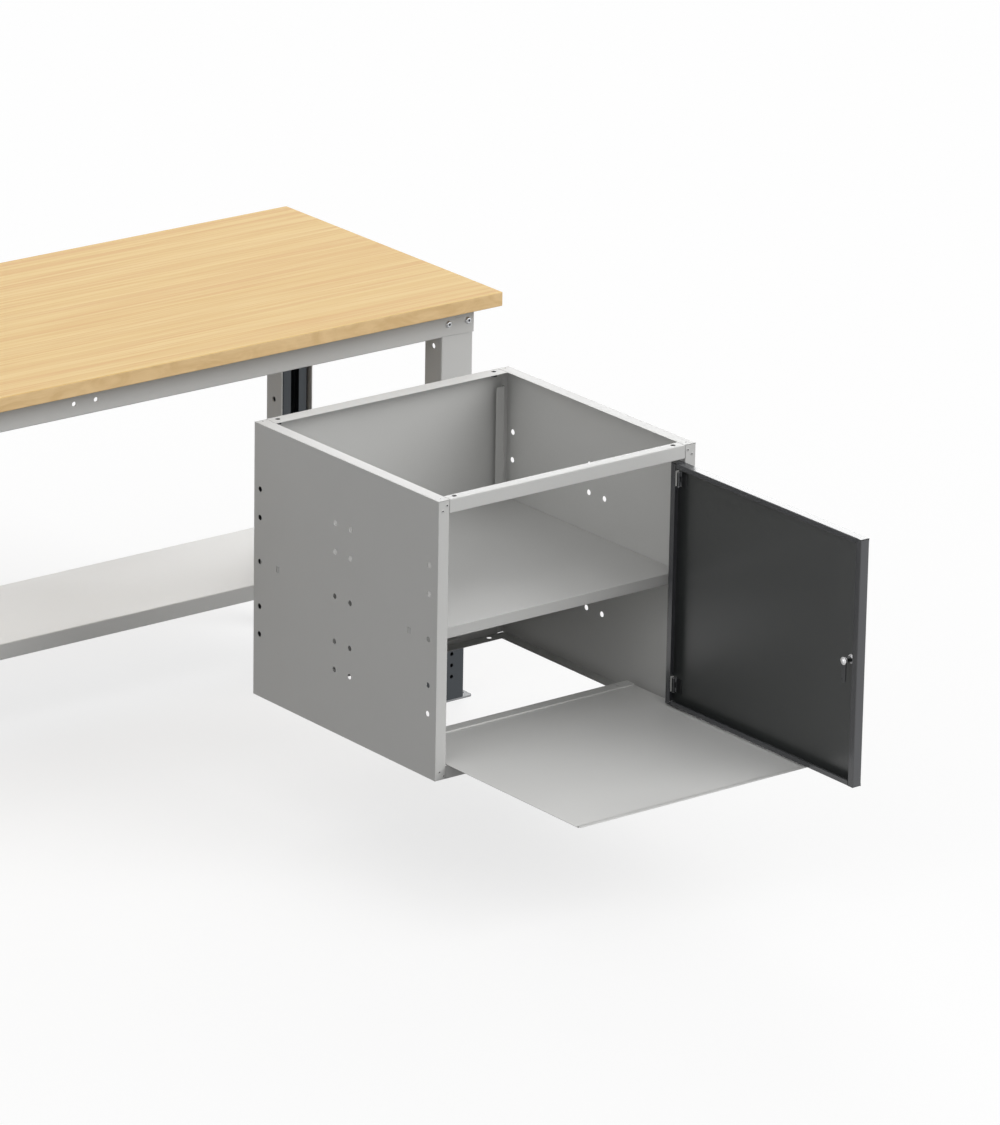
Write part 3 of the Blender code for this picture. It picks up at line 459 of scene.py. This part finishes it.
def oiledBeech(name, use):
    material, wire = startMaterial(name)
    place = objectPlace(wire)
    fibres = noiseAt(wire, stretched(wire, place, use["fibres"]), 1.0, detail=2)
    top, streaks = faceFigure(wire, place, fibres, use)
    edge = edgeFigure(wire, place, fibres, use)
    facing = wire.node("ShaderNodeTexCoord", {}, {}, "Normal")
    upward = wire.node("ShaderNodeSeparateXYZ", {}, {"Vector": facing}, "Z")
    flat = wire.node("ShaderNodeMath", {"operation": "ABSOLUTE"}, {0: upward})
    bump = wire.node("ShaderNodeBump", {}, {
        "Strength": use["grainBump"], "Distance": use["grainDepth"], "Height": fibres,
    })
    endMaterial(wire, {
        "Base Color": mixColours(wire, flat > use["flatFrom"], edge, top),
        "Roughness": swing(streaks, use["roughSpread"]) + use["roughness"],
        "Specular IOR Level": use["specular"],
        "Normal": bump,
    })
    return material


beech = oiledBeech("oiledBeech", beechSet)
print("materials made")


# shared steps for the pieces, lengths in metres and angles in degrees
meshSet = {
    "sharpAngle": 38.0,
    "shadeWeight": 80,
    "cadWeld": 2e-6,
    "flatAngle": 0.5,
    "weld": 1e-6,
}


def newPiece(name, shape, material, body, nodes=()):
    mesh = bpy.data.meshes.new(name)
    shape.to_mesh(mesh)
    shape.free()
    mesh.materials.append(material)
    mesh.shade_smooth()
    mesh.set_sharp_from_angle(angle=math.radians(meshSet["sharpAngle"]))
    piece = bpy.data.objects.new(name, mesh)
    scene.collection.objects.link(piece)
    change = piece.modifiers.new("evenShade", "WEIGHTED_NORMAL")
    change.keep_sharp = True
    change.weight = meshSet["shadeWeight"]
    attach(piece, body)
    if nodes:
        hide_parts(*nodes)


def mergedCopy(node):
    shape = bmesh.new()
    shape.from_mesh(frame["nodes"][node].data)
    bmesh.ops.remove_doubles(shape, verts=shape.verts[:], dist=meshSet["cadWeld"])
    bmesh.ops.dissolve_limit(shape, angle_limit=math.radians(meshSet["flatAngle"]),
                             verts=shape.verts[:], edges=shape.edges[:])
    return shape


def roundEdges(shape, edges, offset, segments):
    if edges:
        bmesh.ops.bevel(shape, geom=edges, offset=offset, affect="EDGES", segments=segments,
                        profile=0.5, material=-1, clamp_overlap=True)


def faceWidth(face):
    return 2 * face.calc_area() / face.calc_perimeter()


# what tells a hole's wall, a fold and a rim apart; wallMatch, foldWide, rimThin and rimWide
# count in sheet thicknesses, holeFacet and foldLong in metres, turns in degrees
edgeSet = {
    "wallMatch": 0.1,
    "holeTurn": (15, 45),
    "holeFacet": 0.003,
    "holeSteps": 2,
    "foldTurn": 25,
    "foldWide": 3,
    "foldLong": 0.012,
    "outerSteps": 3,
    "innerSteps": 2,
    "rimTurn": 60,
    "rimThin": 1.2,
    "rimWide": 2,
}


def holeEdges(shape, thickness):
    found = []
    least, most = edgeSet["holeTurn"]
    for edge in shape.edges:
        offThickness = abs(edge.calc_length() - thickness)
        if len(edge.link_faces) != 2 or offThickness > edgeSet["wallMatch"] * thickness:
            continue
        turn = math.degrees(edge.calc_face_angle(0))
        widest = max(faceWidth(face) for face in edge.link_faces)
        if least < turn < most and widest < edgeSet["holeFacet"]:
            found.append(edge)
    return found


# sign is 1 for the outside of a fold, -1 for its inside
def foldEdges(shape, thickness, sign):
    found = []
    for edge in shape.edges:
        if len(edge.link_faces) != 2:
            continue
        turn = math.degrees(edge.calc_face_angle_signed(0)) * sign
        narrow = min(faceWidth(face) for face in edge.link_faces)
        wide = narrow > edgeSet["foldWide"] * thickness
        if turn > edgeSet["foldTurn"] and wide and edge.calc_length() > edgeSet["foldLong"]:
            found.append(edge)
    return found


def rimEdges(shape, thickness):
    found = []
    for edge in shape.edges:
        if len(edge.link_faces) != 2:
            continue
        if math.degrees(edge.calc_face_angle_signed(0)) > edgeSet["rimTurn"]:
            thin, wide = sorted(faceWidth(face) for face in edge.link_faces)
            if thin < edgeSet["rimThin"] * thickness and wide > edgeSet["rimWide"] * thickness:
                found.append(edge)
    return found


# folded sheet: hole walls are rounded, then the folds get their outer and inner radius
def foldedSheet(node, use):
    shape = mergedCopy(node)
    thickness = use["thickness"]
    roundEdges(shape, holeEdges(shape, thickness), use["holeRound"], edgeSet["holeSteps"])
    roundEdges(shape, foldEdges(shape, thickness, 1), use["outer"], edgeSet["outerSteps"])
    roundEdges(shape, foldEdges(shape, thickness, -1), use["inner"], edgeSet["innerSteps"])
    roundEdges(shape, rimEdges(shape, thickness), use["arris"], 1)
    bmesh.ops.remove_doubles(shape, verts=shape.verts[:], dist=meshSet["weld"])
    bmesh.ops.dissolve_degenerate(shape, edges=shape.edges[:], dist=meshSet["weld"])
    newPiece(node + "_folded", shape, use["coat"], bodyOf[node], (node,))


frameSheet = {
    "thickness": 0.002,
    "outer": 0.0030,
    "inner": 0.0012,
    "holeRound": 0.0011,
    "arris": 0.0003,
    "coat": lightGrey,
    "slot": "light_grey",
}
legSheet = {**frameSheet, "coat": legCoat, "slot": "anthracite"}
# the lower shelf takes the paler grey of painted light
shelfSheet = {
    **frameSheet,
    "thickness": 0.0012,
    "outer": 0.0020,
    "inner": 0.0008,
    "coat": paintedLightCoat,
}
cabinetSheet = {**frameSheet, "thickness": 0.001, "outer": 0.0014, "inner": 0.0005}
railSheet = {**cabinetSheet, "arris": 0.0006}
# the rear panel and the shelf take the darker grey of painted shade
shadedInnerSheet = {**cabinetSheet, "coat": paintedShadeGrey}
# the bottom plate takes the paler grey of painted light
plateSheet = {**cabinetSheet, "coat": paintedLightCoat}
doorSheet = {**cabinetSheet, "coat": anthracite, "slot": "anthracite"}
ends = [(front, side) for front in ("front", "rear") for side in ("right", "left")]
for front, side in ends:
    foldedSheet("upright_" + front + "_" + side, frameSheet)
    foldedSheet("inner_leg_" + front + "_" + side, legSheet)
for node in ("front_rail", "rear_rail", "top_crossbar_right", "top_crossbar_left",
             "shelf_angle_right", "shelf_angle_left"):
    foldedSheet(node, frameSheet)
foldedSheet("lower_shelf", shelfSheet)
for side in ("left", "right"):
    foldedSheet("cabinet_" + side + "_side", cabinetSheet)
for node in ("cabinet_rear_panel", "cabinet_shelf"):
    foldedSheet(node, shadedInnerSheet)
for node in ("front_top_rail", "rear_top_rail", "front_sill", "rear_foot_rail"):
    foldedSheet(node, railSheet)
foldedSheet("bottom_plate", plateSheet)
foldedSheet("door_panel", doorSheet)
print("folded sheets done")


# solid pieces with a small arris
cornerTurn = 50.0  # an edge that turns by more than this, in degrees, is rounded


def easedSolid(node, use, ending="_eased"):
    shape = mergedCopy(node)
    corners = [edge for edge in shape.edges if len(edge.link_faces) == 2
               and math.degrees(edge.calc_face_angle(0)) > cornerTurn]
    roundEdges(shape, corners, use["radius"], use["segments"])
    newPiece(node + ending, shape, use["coat"], bodyOf[node], (node,))


boardEdge = {"radius": 0.0018, "segments": 3, "coat": beech, "slot": "beech"}
# the foot plates take the darker zinc of painted shade
footEdge = {"radius": 0.0006, "segments": 2, "coat": shadedFootZinc, "slot": "zinc"}
clipEdge = {"radius": 0.0006, "segments": 3, "coat": clipZinc, "slot": "zinc"}
ledgeEdge = {"radius": 0.0003, "segments": 2, "coat": lightGrey, "slot": "light_grey"}
leafEdge = {"radius": 0.0002, "segments": 2, "coat": dullZinc, "slot": "zinc"}
pinEdge = {"radius": 0.0003, "segments": 2, "coat": steel, "slot": "steel"}
housingEdge = {"radius": 0.0008, "segments": 3, "coat": chrome, "slot": "chrome"}
plugEdge = {"radius": 0.0003, "segments": 2, "coat": chrome, "slot": "chrome"}
lockNutEdge = {"radius": 0.0018, "segments": 5, "coat": satinChrome, "slot": "chrome"}
camEdge = {"radius": 0.0003, "segments": 2, "coat": camCoat, "slot": "black_oxide"}

easedSolid("worktop", boardEdge, "_board")
for front, side in ends:
    easedSolid("foot_plate_" + front + "_" + side, footEdge)
    easedSolid("shelf_clip_" + front + "_" + side, clipEdge)
easedSolid("plate_ledge", ledgeEdge)
for level in ("upper", "lower"):
    easedSolid(level + "_hinge_post_leaf", leafEdge)
    easedSolid(level + "_hinge_door_leaf", leafEdge)
    easedSolid(level + "_hinge_pin", pinEdge)
easedSolid("lock_housing", housingEdge)
easedSolid("lock_plug", plugEdge)
easedSolid("lock_nut", lockNutEdge)
easedSolid("lock_cam", camEdge)
print("solid pieces done")

# button-head bolts, each with its nut; a profile is (radius, height) points
boltSet = {
    "headProfile": (
        (0.0070, 0.0), (0.0069, 0.0012), (0.0063, 0.0026), (0.0054, 0.0036), (0.0043, 0.0042),
    ),
    "socket": 0.0030,
    "socketDepth": 0.0024,
    "shank": 0.0040,
    "nut": 0.0075,
    "nutHeight": 0.0065,
    "nutArris": 0.0004,
    "nutArrisSteps": 2,
    "grip": 0.0049,
    "steps": 24,
    "shankSteps": 16,
}


def turnedHead(shape, profile, steps):
    verts = [shape.verts.new((radius, 0, height)) for radius, height in profile]
    edges = [shape.edges.new(pair) for pair in zip(verts, verts[1:])]
    bmesh.ops.spin(shape, geom=verts + edges, cent=(0, 0, 0), axis=(0, 0, 1), dvec=(0, 0, 0),
                   angle=2 * math.pi, steps=steps, use_merge=True, use_duplicate=False)
    bmesh.ops.remove_doubles(shape, verts=shape.verts[:], dist=meshSet["weld"])


def openLoopAt(shape, height):
    return [edge for edge in shape.edges if edge.is_boundary
            and all(abs(vert.co.z - height) < meshSet["weld"] for vert in edge.verts)]


def socketHead(shape, use):
    top = use["headProfile"][-1][1]
    turnedHead(shape, use["headProfile"], use["steps"])
    rim = openLoopAt(shape, top)
    seat = openLoopAt(shape, 0)
    lift = Matrix.Translation((0, 0, top))
    made = bmesh.ops.create_circle(shape, segments=6, radius=use["socket"], matrix=lift)
    hexEdges = list({edge for vert in made["verts"] for edge in vert.link_edges})
    bmesh.ops.bridge_loops(shape, edges=rim + hexEdges)
    sunk = bmesh.ops.extrude_edge_only(shape, edges=hexEdges)["geom"]
    sunkVerts = [item for item in sunk if isinstance(item, bmesh.types.BMVert)]
    sunkEdges = [item for item in sunk if isinstance(item, bmesh.types.BMEdge)]
    bmesh.ops.translate(shape, verts=sunkVerts, vec=(0, 0, -use["socketDepth"]))
    bmesh.ops.contextual_create(shape, geom=sunkEdges)
    bmesh.ops.contextual_create(shape, geom=seat)


# moves one bmesh into another
def addInto(shape, part):
    mesh = bpy.data.meshes.new("joinedPart")
    part.to_mesh(mesh)
    part.free()
    shape.from_mesh(mesh)
    bpy.data.meshes.remove(mesh)


def addBolt(node, outward, use):
    low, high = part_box(node)
    seat = (low + high) / 2
    headHeight = use["headProfile"][-1][1]
    seat.y = low.y + headHeight if outward < 0 else high.y - headHeight
    shape = bmesh.new()
    socketHead(shape, use)
    shankLift = Matrix.Translation((0, 0, -use["grip"] / 2))
    bmesh.ops.create_cone(shape, cap_ends=True, segments=use["shankSteps"], radius1=use["shank"],
                          radius2=use["shank"], depth=use["grip"], matrix=shankLift)
    nut = bmesh.new()
    nutLift = Matrix.Translation((0, 0, -use["grip"] - use["nutHeight"] / 2))
    bmesh.ops.create_cone(nut, cap_ends=True, segments=6, radius1=use["nut"], radius2=use["nut"],
                          depth=use["nutHeight"], matrix=nutLift)
    roundEdges(nut, nut.edges[:], use["nutArris"], use["nutArrisSteps"])
    addInto(shape, nut)
    bmesh.ops.recalc_face_normals(shape, faces=shape.faces[:])
    turn = Matrix.Rotation(math.radians(90 if outward < 0 else -90), 4, "X")
    bmesh.ops.transform(shape, matrix=Matrix.Translation(seat) @ turn, verts=shape.verts[:])
    newPiece(node + "_turned", shape, zinc, bodyOf[node], (node,))


for number in range(1, 5):
    addBolt("front_rail_bolt_" + str(number), -1, boltSet)
    addBolt("rear_rail_bolt_" + str(number), 1, boltSet)
for front, side in ends:
    addBolt("leg_bolt_" + front + "_" + side, -1 if front == "front" else 1, boltSet)

# blind rivets that hold the cabinet's corners, (across, up) from a wall's outer foot; shoulder
# is a share of the height, crown of the radius, craterFloor, pin and pinTip of the crater
rivetSet = {
    "radius": 0.0034,
    "height": 0.0009,
    "crater": 0.0020,
    "craterDepth": 0.0007,
    "pinRise": 0.0001,
    "sunk": 0.0002,
    "shoulder": 0.4,
    "crown": 0.72,
    "craterFloor": 0.8,
    "pin": 0.75,
    "pinTip": 0.4,
    "pinSunk": 0.0001,
    "steps": 16,
    "pinSteps": 12,
    "postPlaces": ((0.0196, 0.5591), (0.0097, 0.5490), (0.0106, 0.0172), (0.0207, 0.0075)),
    "topInset": 0.0140,
    "topFront": 0.0139,
    "topRear": 0.0085,
}


def joinInto(shape, part, place, outward):
    bmesh.ops.recalc_face_normals(part, faces=part.faces[:])
    turn = Vector(outward).to_track_quat("Z", "Y").to_matrix().to_4x4()
    bmesh.ops.transform(part, matrix=Matrix.Translation(place) @ turn, verts=part.verts[:])
    addInto(shape, part)


def closedTurning(profile, steps):
    part = bmesh.new()
    turnedHead(part, profile, steps)
    for height in (profile[0][1], profile[-1][1]):
        bmesh.ops.contextual_create(part, geom=openLoopAt(part, height))
    return part


# the cam's domed nut and the washer under it, on the lock's own axis
domedNutSet = {
    "nut": (  # shares of the node's radius and height
        (1.0, 0.0), (1.0, 0.18), (0.94, 0.42), (0.80, 0.66), (0.58, 0.86), (0.30, 0.97),
        (0.06, 1.0),
    ),
    "washer": (
        (0.0030, 0.0), (0.0076, 0.0), (0.0080, 0.0004), (0.0078, 0.0010), (0.0070, 0.0014),
        (0.0030, 0.0016),
    ),
    "steps": 24,
}


def addDomedNut(node, use):
    low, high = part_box(node)
    radius = (high.z - low.z) / 2
    height = high.x - low.x
    seat = Vector((high.x, (low.y + high.y) / 2, (low.z + high.z) / 2))
    dome = bmesh.new()
    profile = [(radius * across, height * up) for across, up in use["nut"]]
    joinInto(dome, closedTurning(profile, use["steps"]), seat, (-1, 0, 0))
    newPiece(node + "_domed", dome, chrome, bodyOf[node], (node,))
    washer = bmesh.new()
    joinInto(washer, closedTurning(use["washer"], use["steps"]), seat, (-1, 0, 0))
    newPiece("lock_cam_washer", washer, satinChrome, bodyOf[node])


addDomedNut("lock_cam_nut", domedNutSet)


def addRivets(name, places, body, material, use):
    heads = bmesh.new()
    pins = bmesh.new()
    radius, crater, top = use["radius"], use["crater"], use["height"]
    pin = crater * use["pin"]
    dip = top - use["craterDepth"]
    headProfile = (
        (radius, -use["sunk"]), (radius, top * use["shoulder"]), (radius * use["crown"], top),
        (crater, top), (crater * use["craterFloor"], dip),
    )
    pinProfile = (
        (pin, dip - use["pinSunk"]), (pin, dip + use["pinRise"] / 2),
        (crater * use["pinTip"], dip + use["pinRise"]),
    )
    for place, outward in places:
        joinInto(heads, closedTurning(headProfile, use["steps"]), place, outward)
        joinInto(pins, closedTurning(pinProfile, use["pinSteps"]), place, outward)
    newPiece(name, heads, material, body)
    # the pins in black: the mandrels' stubs, darkened as painted shade in the craters
    newPiece(name + "_pins", pins, blackOxideShade, body)


# rivet nuts behind the fixing holes: a dark barrel closed at its end, whose black is painted shade
# that makes the holes look deep and dark; eye is a share of inner
rivetNutSet = {
    "outer": 0.0072,
    "inner": 0.0056,
    "eye": 0.2,
    "depth": 0.0085,
    "endWall": 0.001,
    "gap": 0.0002,
    "steps": 20,
    "topAcross": 0.047,
    "topBack": 0.0135,
    "sideBack": 0.5795,
    "sideDrops": (0.135, 0.194, 0.286, 0.3795, 0.438),
    "sheet": 0.001,
}


def addRivetNuts(name, places, use):
    shape = bmesh.new()
    eye = use["inner"] * use["eye"]
    mouth = -use["sheet"] - use["gap"]
    bottom = mouth - use["depth"]
    inside = bottom + use["endWall"]
    profile = (
        (eye, inside), (use["inner"], inside), (use["inner"], mouth),
        (use["outer"], mouth), (use["outer"], bottom), (eye, bottom),
    )
    for place, outward in places:
        joinInto(shape, closedTurning(profile, use["steps"]), place, outward)
    newPiece(name, shape, blackOxideShade, "cabinet")


leftLow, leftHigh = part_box("cabinet_left_side")
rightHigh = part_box("cabinet_right_side")[1]
rivetPlaces = []
for across, up in rivetSet["postPlaces"]:
    for wall, sign in ((leftLow.x, 1), (rightHigh.x, -1)):
        for back, outward in ((leftLow.y, (0, -1, 0)), (leftHigh.y, (0, 1, 0))):
            place = Vector((wall + sign * across, back, leftLow.z + up))
            rivetPlaces.append((place, outward))
addRivets("cabinet_corner_rivets", rivetPlaces, "cabinet", lightGrey, rivetSet)

# flush rivets: the bench's rails pass close over the top ones, the post leaves over the door's
flushSet = {**rivetSet, "height": 0.00015, "craterDepth": 0.0001, "pinRise": 0.00008}
topPlaces = []
for wall, sign in ((leftLow.x, 1), (rightHigh.x, -1)):
    across = wall + sign * rivetSet["topInset"]
    for back in (leftLow.y + rivetSet["topFront"], leftHigh.y - rivetSet["topRear"]):
        topPlaces.append((Vector((across, back, leftHigh.z)), (0, 0, 1)))
addRivets("cabinet_top_rivets", topPlaces, "cabinet", lightGrey, flushSet)

# the fixing holes that the dark barrels fill with painted shade
nutPlaces = []
for wall, sign in ((leftLow.x, 1), (rightHigh.x, -1)):
    across = wall + sign * rivetNutSet["topAcross"]
    for back in (leftLow.y + rivetNutSet["topBack"], leftHigh.y - rivetNutSet["topBack"]):
        nutPlaces.append((Vector((across, back, leftHigh.z)), (0, 0, 1)))
for drop in rivetNutSet["sideDrops"]:
    place = Vector((leftLow.x, leftLow.y + rivetNutSet["sideBack"], leftHigh.z - drop))
    nutPlaces.append((place, (-1, 0, 0)))
addRivetNuts("cabinet_rivet_nut_shades", nutPlaces, rivetNutSet)

hingeRivetSet = {**flushSet, "radius": 0.0025, "crater": 0.0010, "inset": 0.0035}
doorLow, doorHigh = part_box("door_panel")
hingeRivets = []
for level in ("upper", "lower"):
    low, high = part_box(level + "_hinge_door_leaf")
    place = Vector((doorLow.x + hingeRivetSet["inset"], doorHigh.y, (low.z + high.z) / 2))
    hingeRivets.append((place, (0, 1, 0)))
addRivets("door_hinge_rivets", hingeRivets, "door", zinc, hingeRivetSet)


# screws that no node stands for: shelf angles to the inner legs, rails to the worktop
def addScrews(name, places, coat, use):
    shape = bmesh.new()
    for place, outward in places:
        part = bmesh.new()
        socketHead(part, use)
        joinInto(shape, part, place, outward)
    newPiece(name, shape, coat, "bench")


angleBoltSet = {**boltSet, "sheet": 0.002, "above": 0.018}
angleBolts = []
for side, sign in (("right", 1), ("left", -1)):
    low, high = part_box("shelf_angle_" + side)
    wall = high.x if sign > 0 else low.x
    for front in ("front", "rear"):
        legLow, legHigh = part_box("inner_leg_" + front + "_" + side)
        place = Vector((wall - sign * angleBoltSet["sheet"], (legLow.y + legHigh.y) / 2,
                        low.z + angleBoltSet["above"]))
        angleBolts.append((place, (-sign, 0, 0)))
addScrews("shelf_angle_bolts", angleBolts, zinc, angleBoltSet)

worktopScrewSet = {
    "headProfile": (
        (0.0055, 0.0), (0.0054, 0.0012), (0.0048, 0.0022), (0.0038, 0.0029), (0.0031, 0.0031),
    ),
    "socket": 0.0022,
    "socketDepth": 0.0016,
    "steps": 16,
    "sheet": 0.002,
    "across": (-0.78, -0.39, 0.0, 0.39, 0.78),
}
worktopScrews = []
for rail in ("front_rail", "rear_rail"):
    low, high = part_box(rail)
    for across in worktopScrewSet["across"]:
        place = Vector((across, (low.y + high.y) / 2, high.z - worktopScrewSet["sheet"]))
        worktopScrews.append((place, (0, 0, -1)))
addScrews("worktop_screws", worktopScrews, zinc, worktopScrewSet)
print("fasteners done")

# floor and world: the camera and reflections see them white, their own light stays dim
stageSet = {
    "floorSize": 60.0,
    "floorDrop": 0.0003,
    "floorRough": 0.9,
    "floorShown": 0.34,
    "floorGlow": 0.695,
    "floorBounce": 0.20,
    "ambient": 0.38,
    "lampReach": 6.0,
}
# turn is (azimuth from the front, elevation) in degrees, angle the lamp's own breadth
lampSet = {
    "keyLamp": {"turn": (30.0, 31.0), "strength": 1.65, "angle": 45.0},
    "fillLamp": {"turn": (-42.0, 50.0), "strength": 0.40, "angle": 60.0},
    "leftLamp": {"turn": (-88.0, 20.0), "strength": 0.28, "angle": 50.0},
    "rimLamp": {"turn": (142.0, 20.0), "strength": 0.85, "angle": 32.0},
}


def seenRays(wire):
    rays = [wire.node("ShaderNodeLightPath", {}, {}, ray)
            for ray in ("Is Camera Ray", "Is Glossy Ray", "Is Transmission Ray")]
    return wire.node("ShaderNodeClamp", {}, {"Value": rays[0] + rays[1] + rays[2]})


def grey(level):
    return (level, level, level, 1)


def addFloor(use):
    shape = bmesh.new()
    bmesh.ops.create_grid(shape, x_segments=2, y_segments=2, size=use["floorSize"] / 2)
    bmesh.ops.translate(shape, verts=shape.verts[:], vec=(0, 0, -use["floorDrop"]))
    mesh = bpy.data.meshes.new("studioFloor")
    shape.to_mesh(mesh)
    shape.free()
    material, wire = startMaterial("studioFloor")
    seen = seenRays(wire)
    bounce, shown, glow = grey(use["floorBounce"]), grey(use["floorShown"]), grey(use["floorGlow"])
    endMaterial(wire, {
        "Base Color": mixColours(wire, seen, bounce, shown),
        "Emission Color": mixColours(wire, seen, grey(0), glow),
        "Emission Strength": 1.0,
        "Roughness": use["floorRough"],
        "Specular IOR Level": 0.0,
    })
    mesh.materials.append(material)
    floor = bpy.data.objects.new("studioFloor", mesh)
    scene.collection.objects.link(floor)


def addWorld(use):
    world = bpy.data.worlds.new("studioWorld")
    world.use_nodes = True
    scene.world = world
    tree = world.node_tree
    tree.nodes.clear()
    wire = Wire(tree)
    strength = seenRays(wire) * (1 - use["ambient"]) + use["ambient"]
    light = wire.node("ShaderNodeBackground", {}, {"Color": grey(1), "Strength": strength})
    wire.node("ShaderNodeOutputWorld", {}, {"Surface": light})


def addSun(name, use):
    azimuth, elevation = (math.radians(value) for value in use["turn"])
    towards = Vector((
        math.sin(azimuth) * math.cos(elevation),
        -math.cos(azimuth) * math.cos(elevation),
        math.sin(elevation),
    ))
    data = bpy.data.lights.new(name, "SUN")
    data.energy = use["strength"]
    data.angle = math.radians(use["angle"])
    lamp = bpy.data.objects.new(name, data)
    scene.collection.objects.link(lamp)
    lamp.rotation_mode = "QUATERNION"
    lamp.rotation_quaternion = towards.to_track_quat("Z", "Y")
    lamp.location = towards * stageSet["lampReach"]


addFloor(stageSet)
addWorld(stageSet)
for lampName, lampUse in lampSet.items():
    addSun(lampName, lampUse)
print("stage and lamps set")
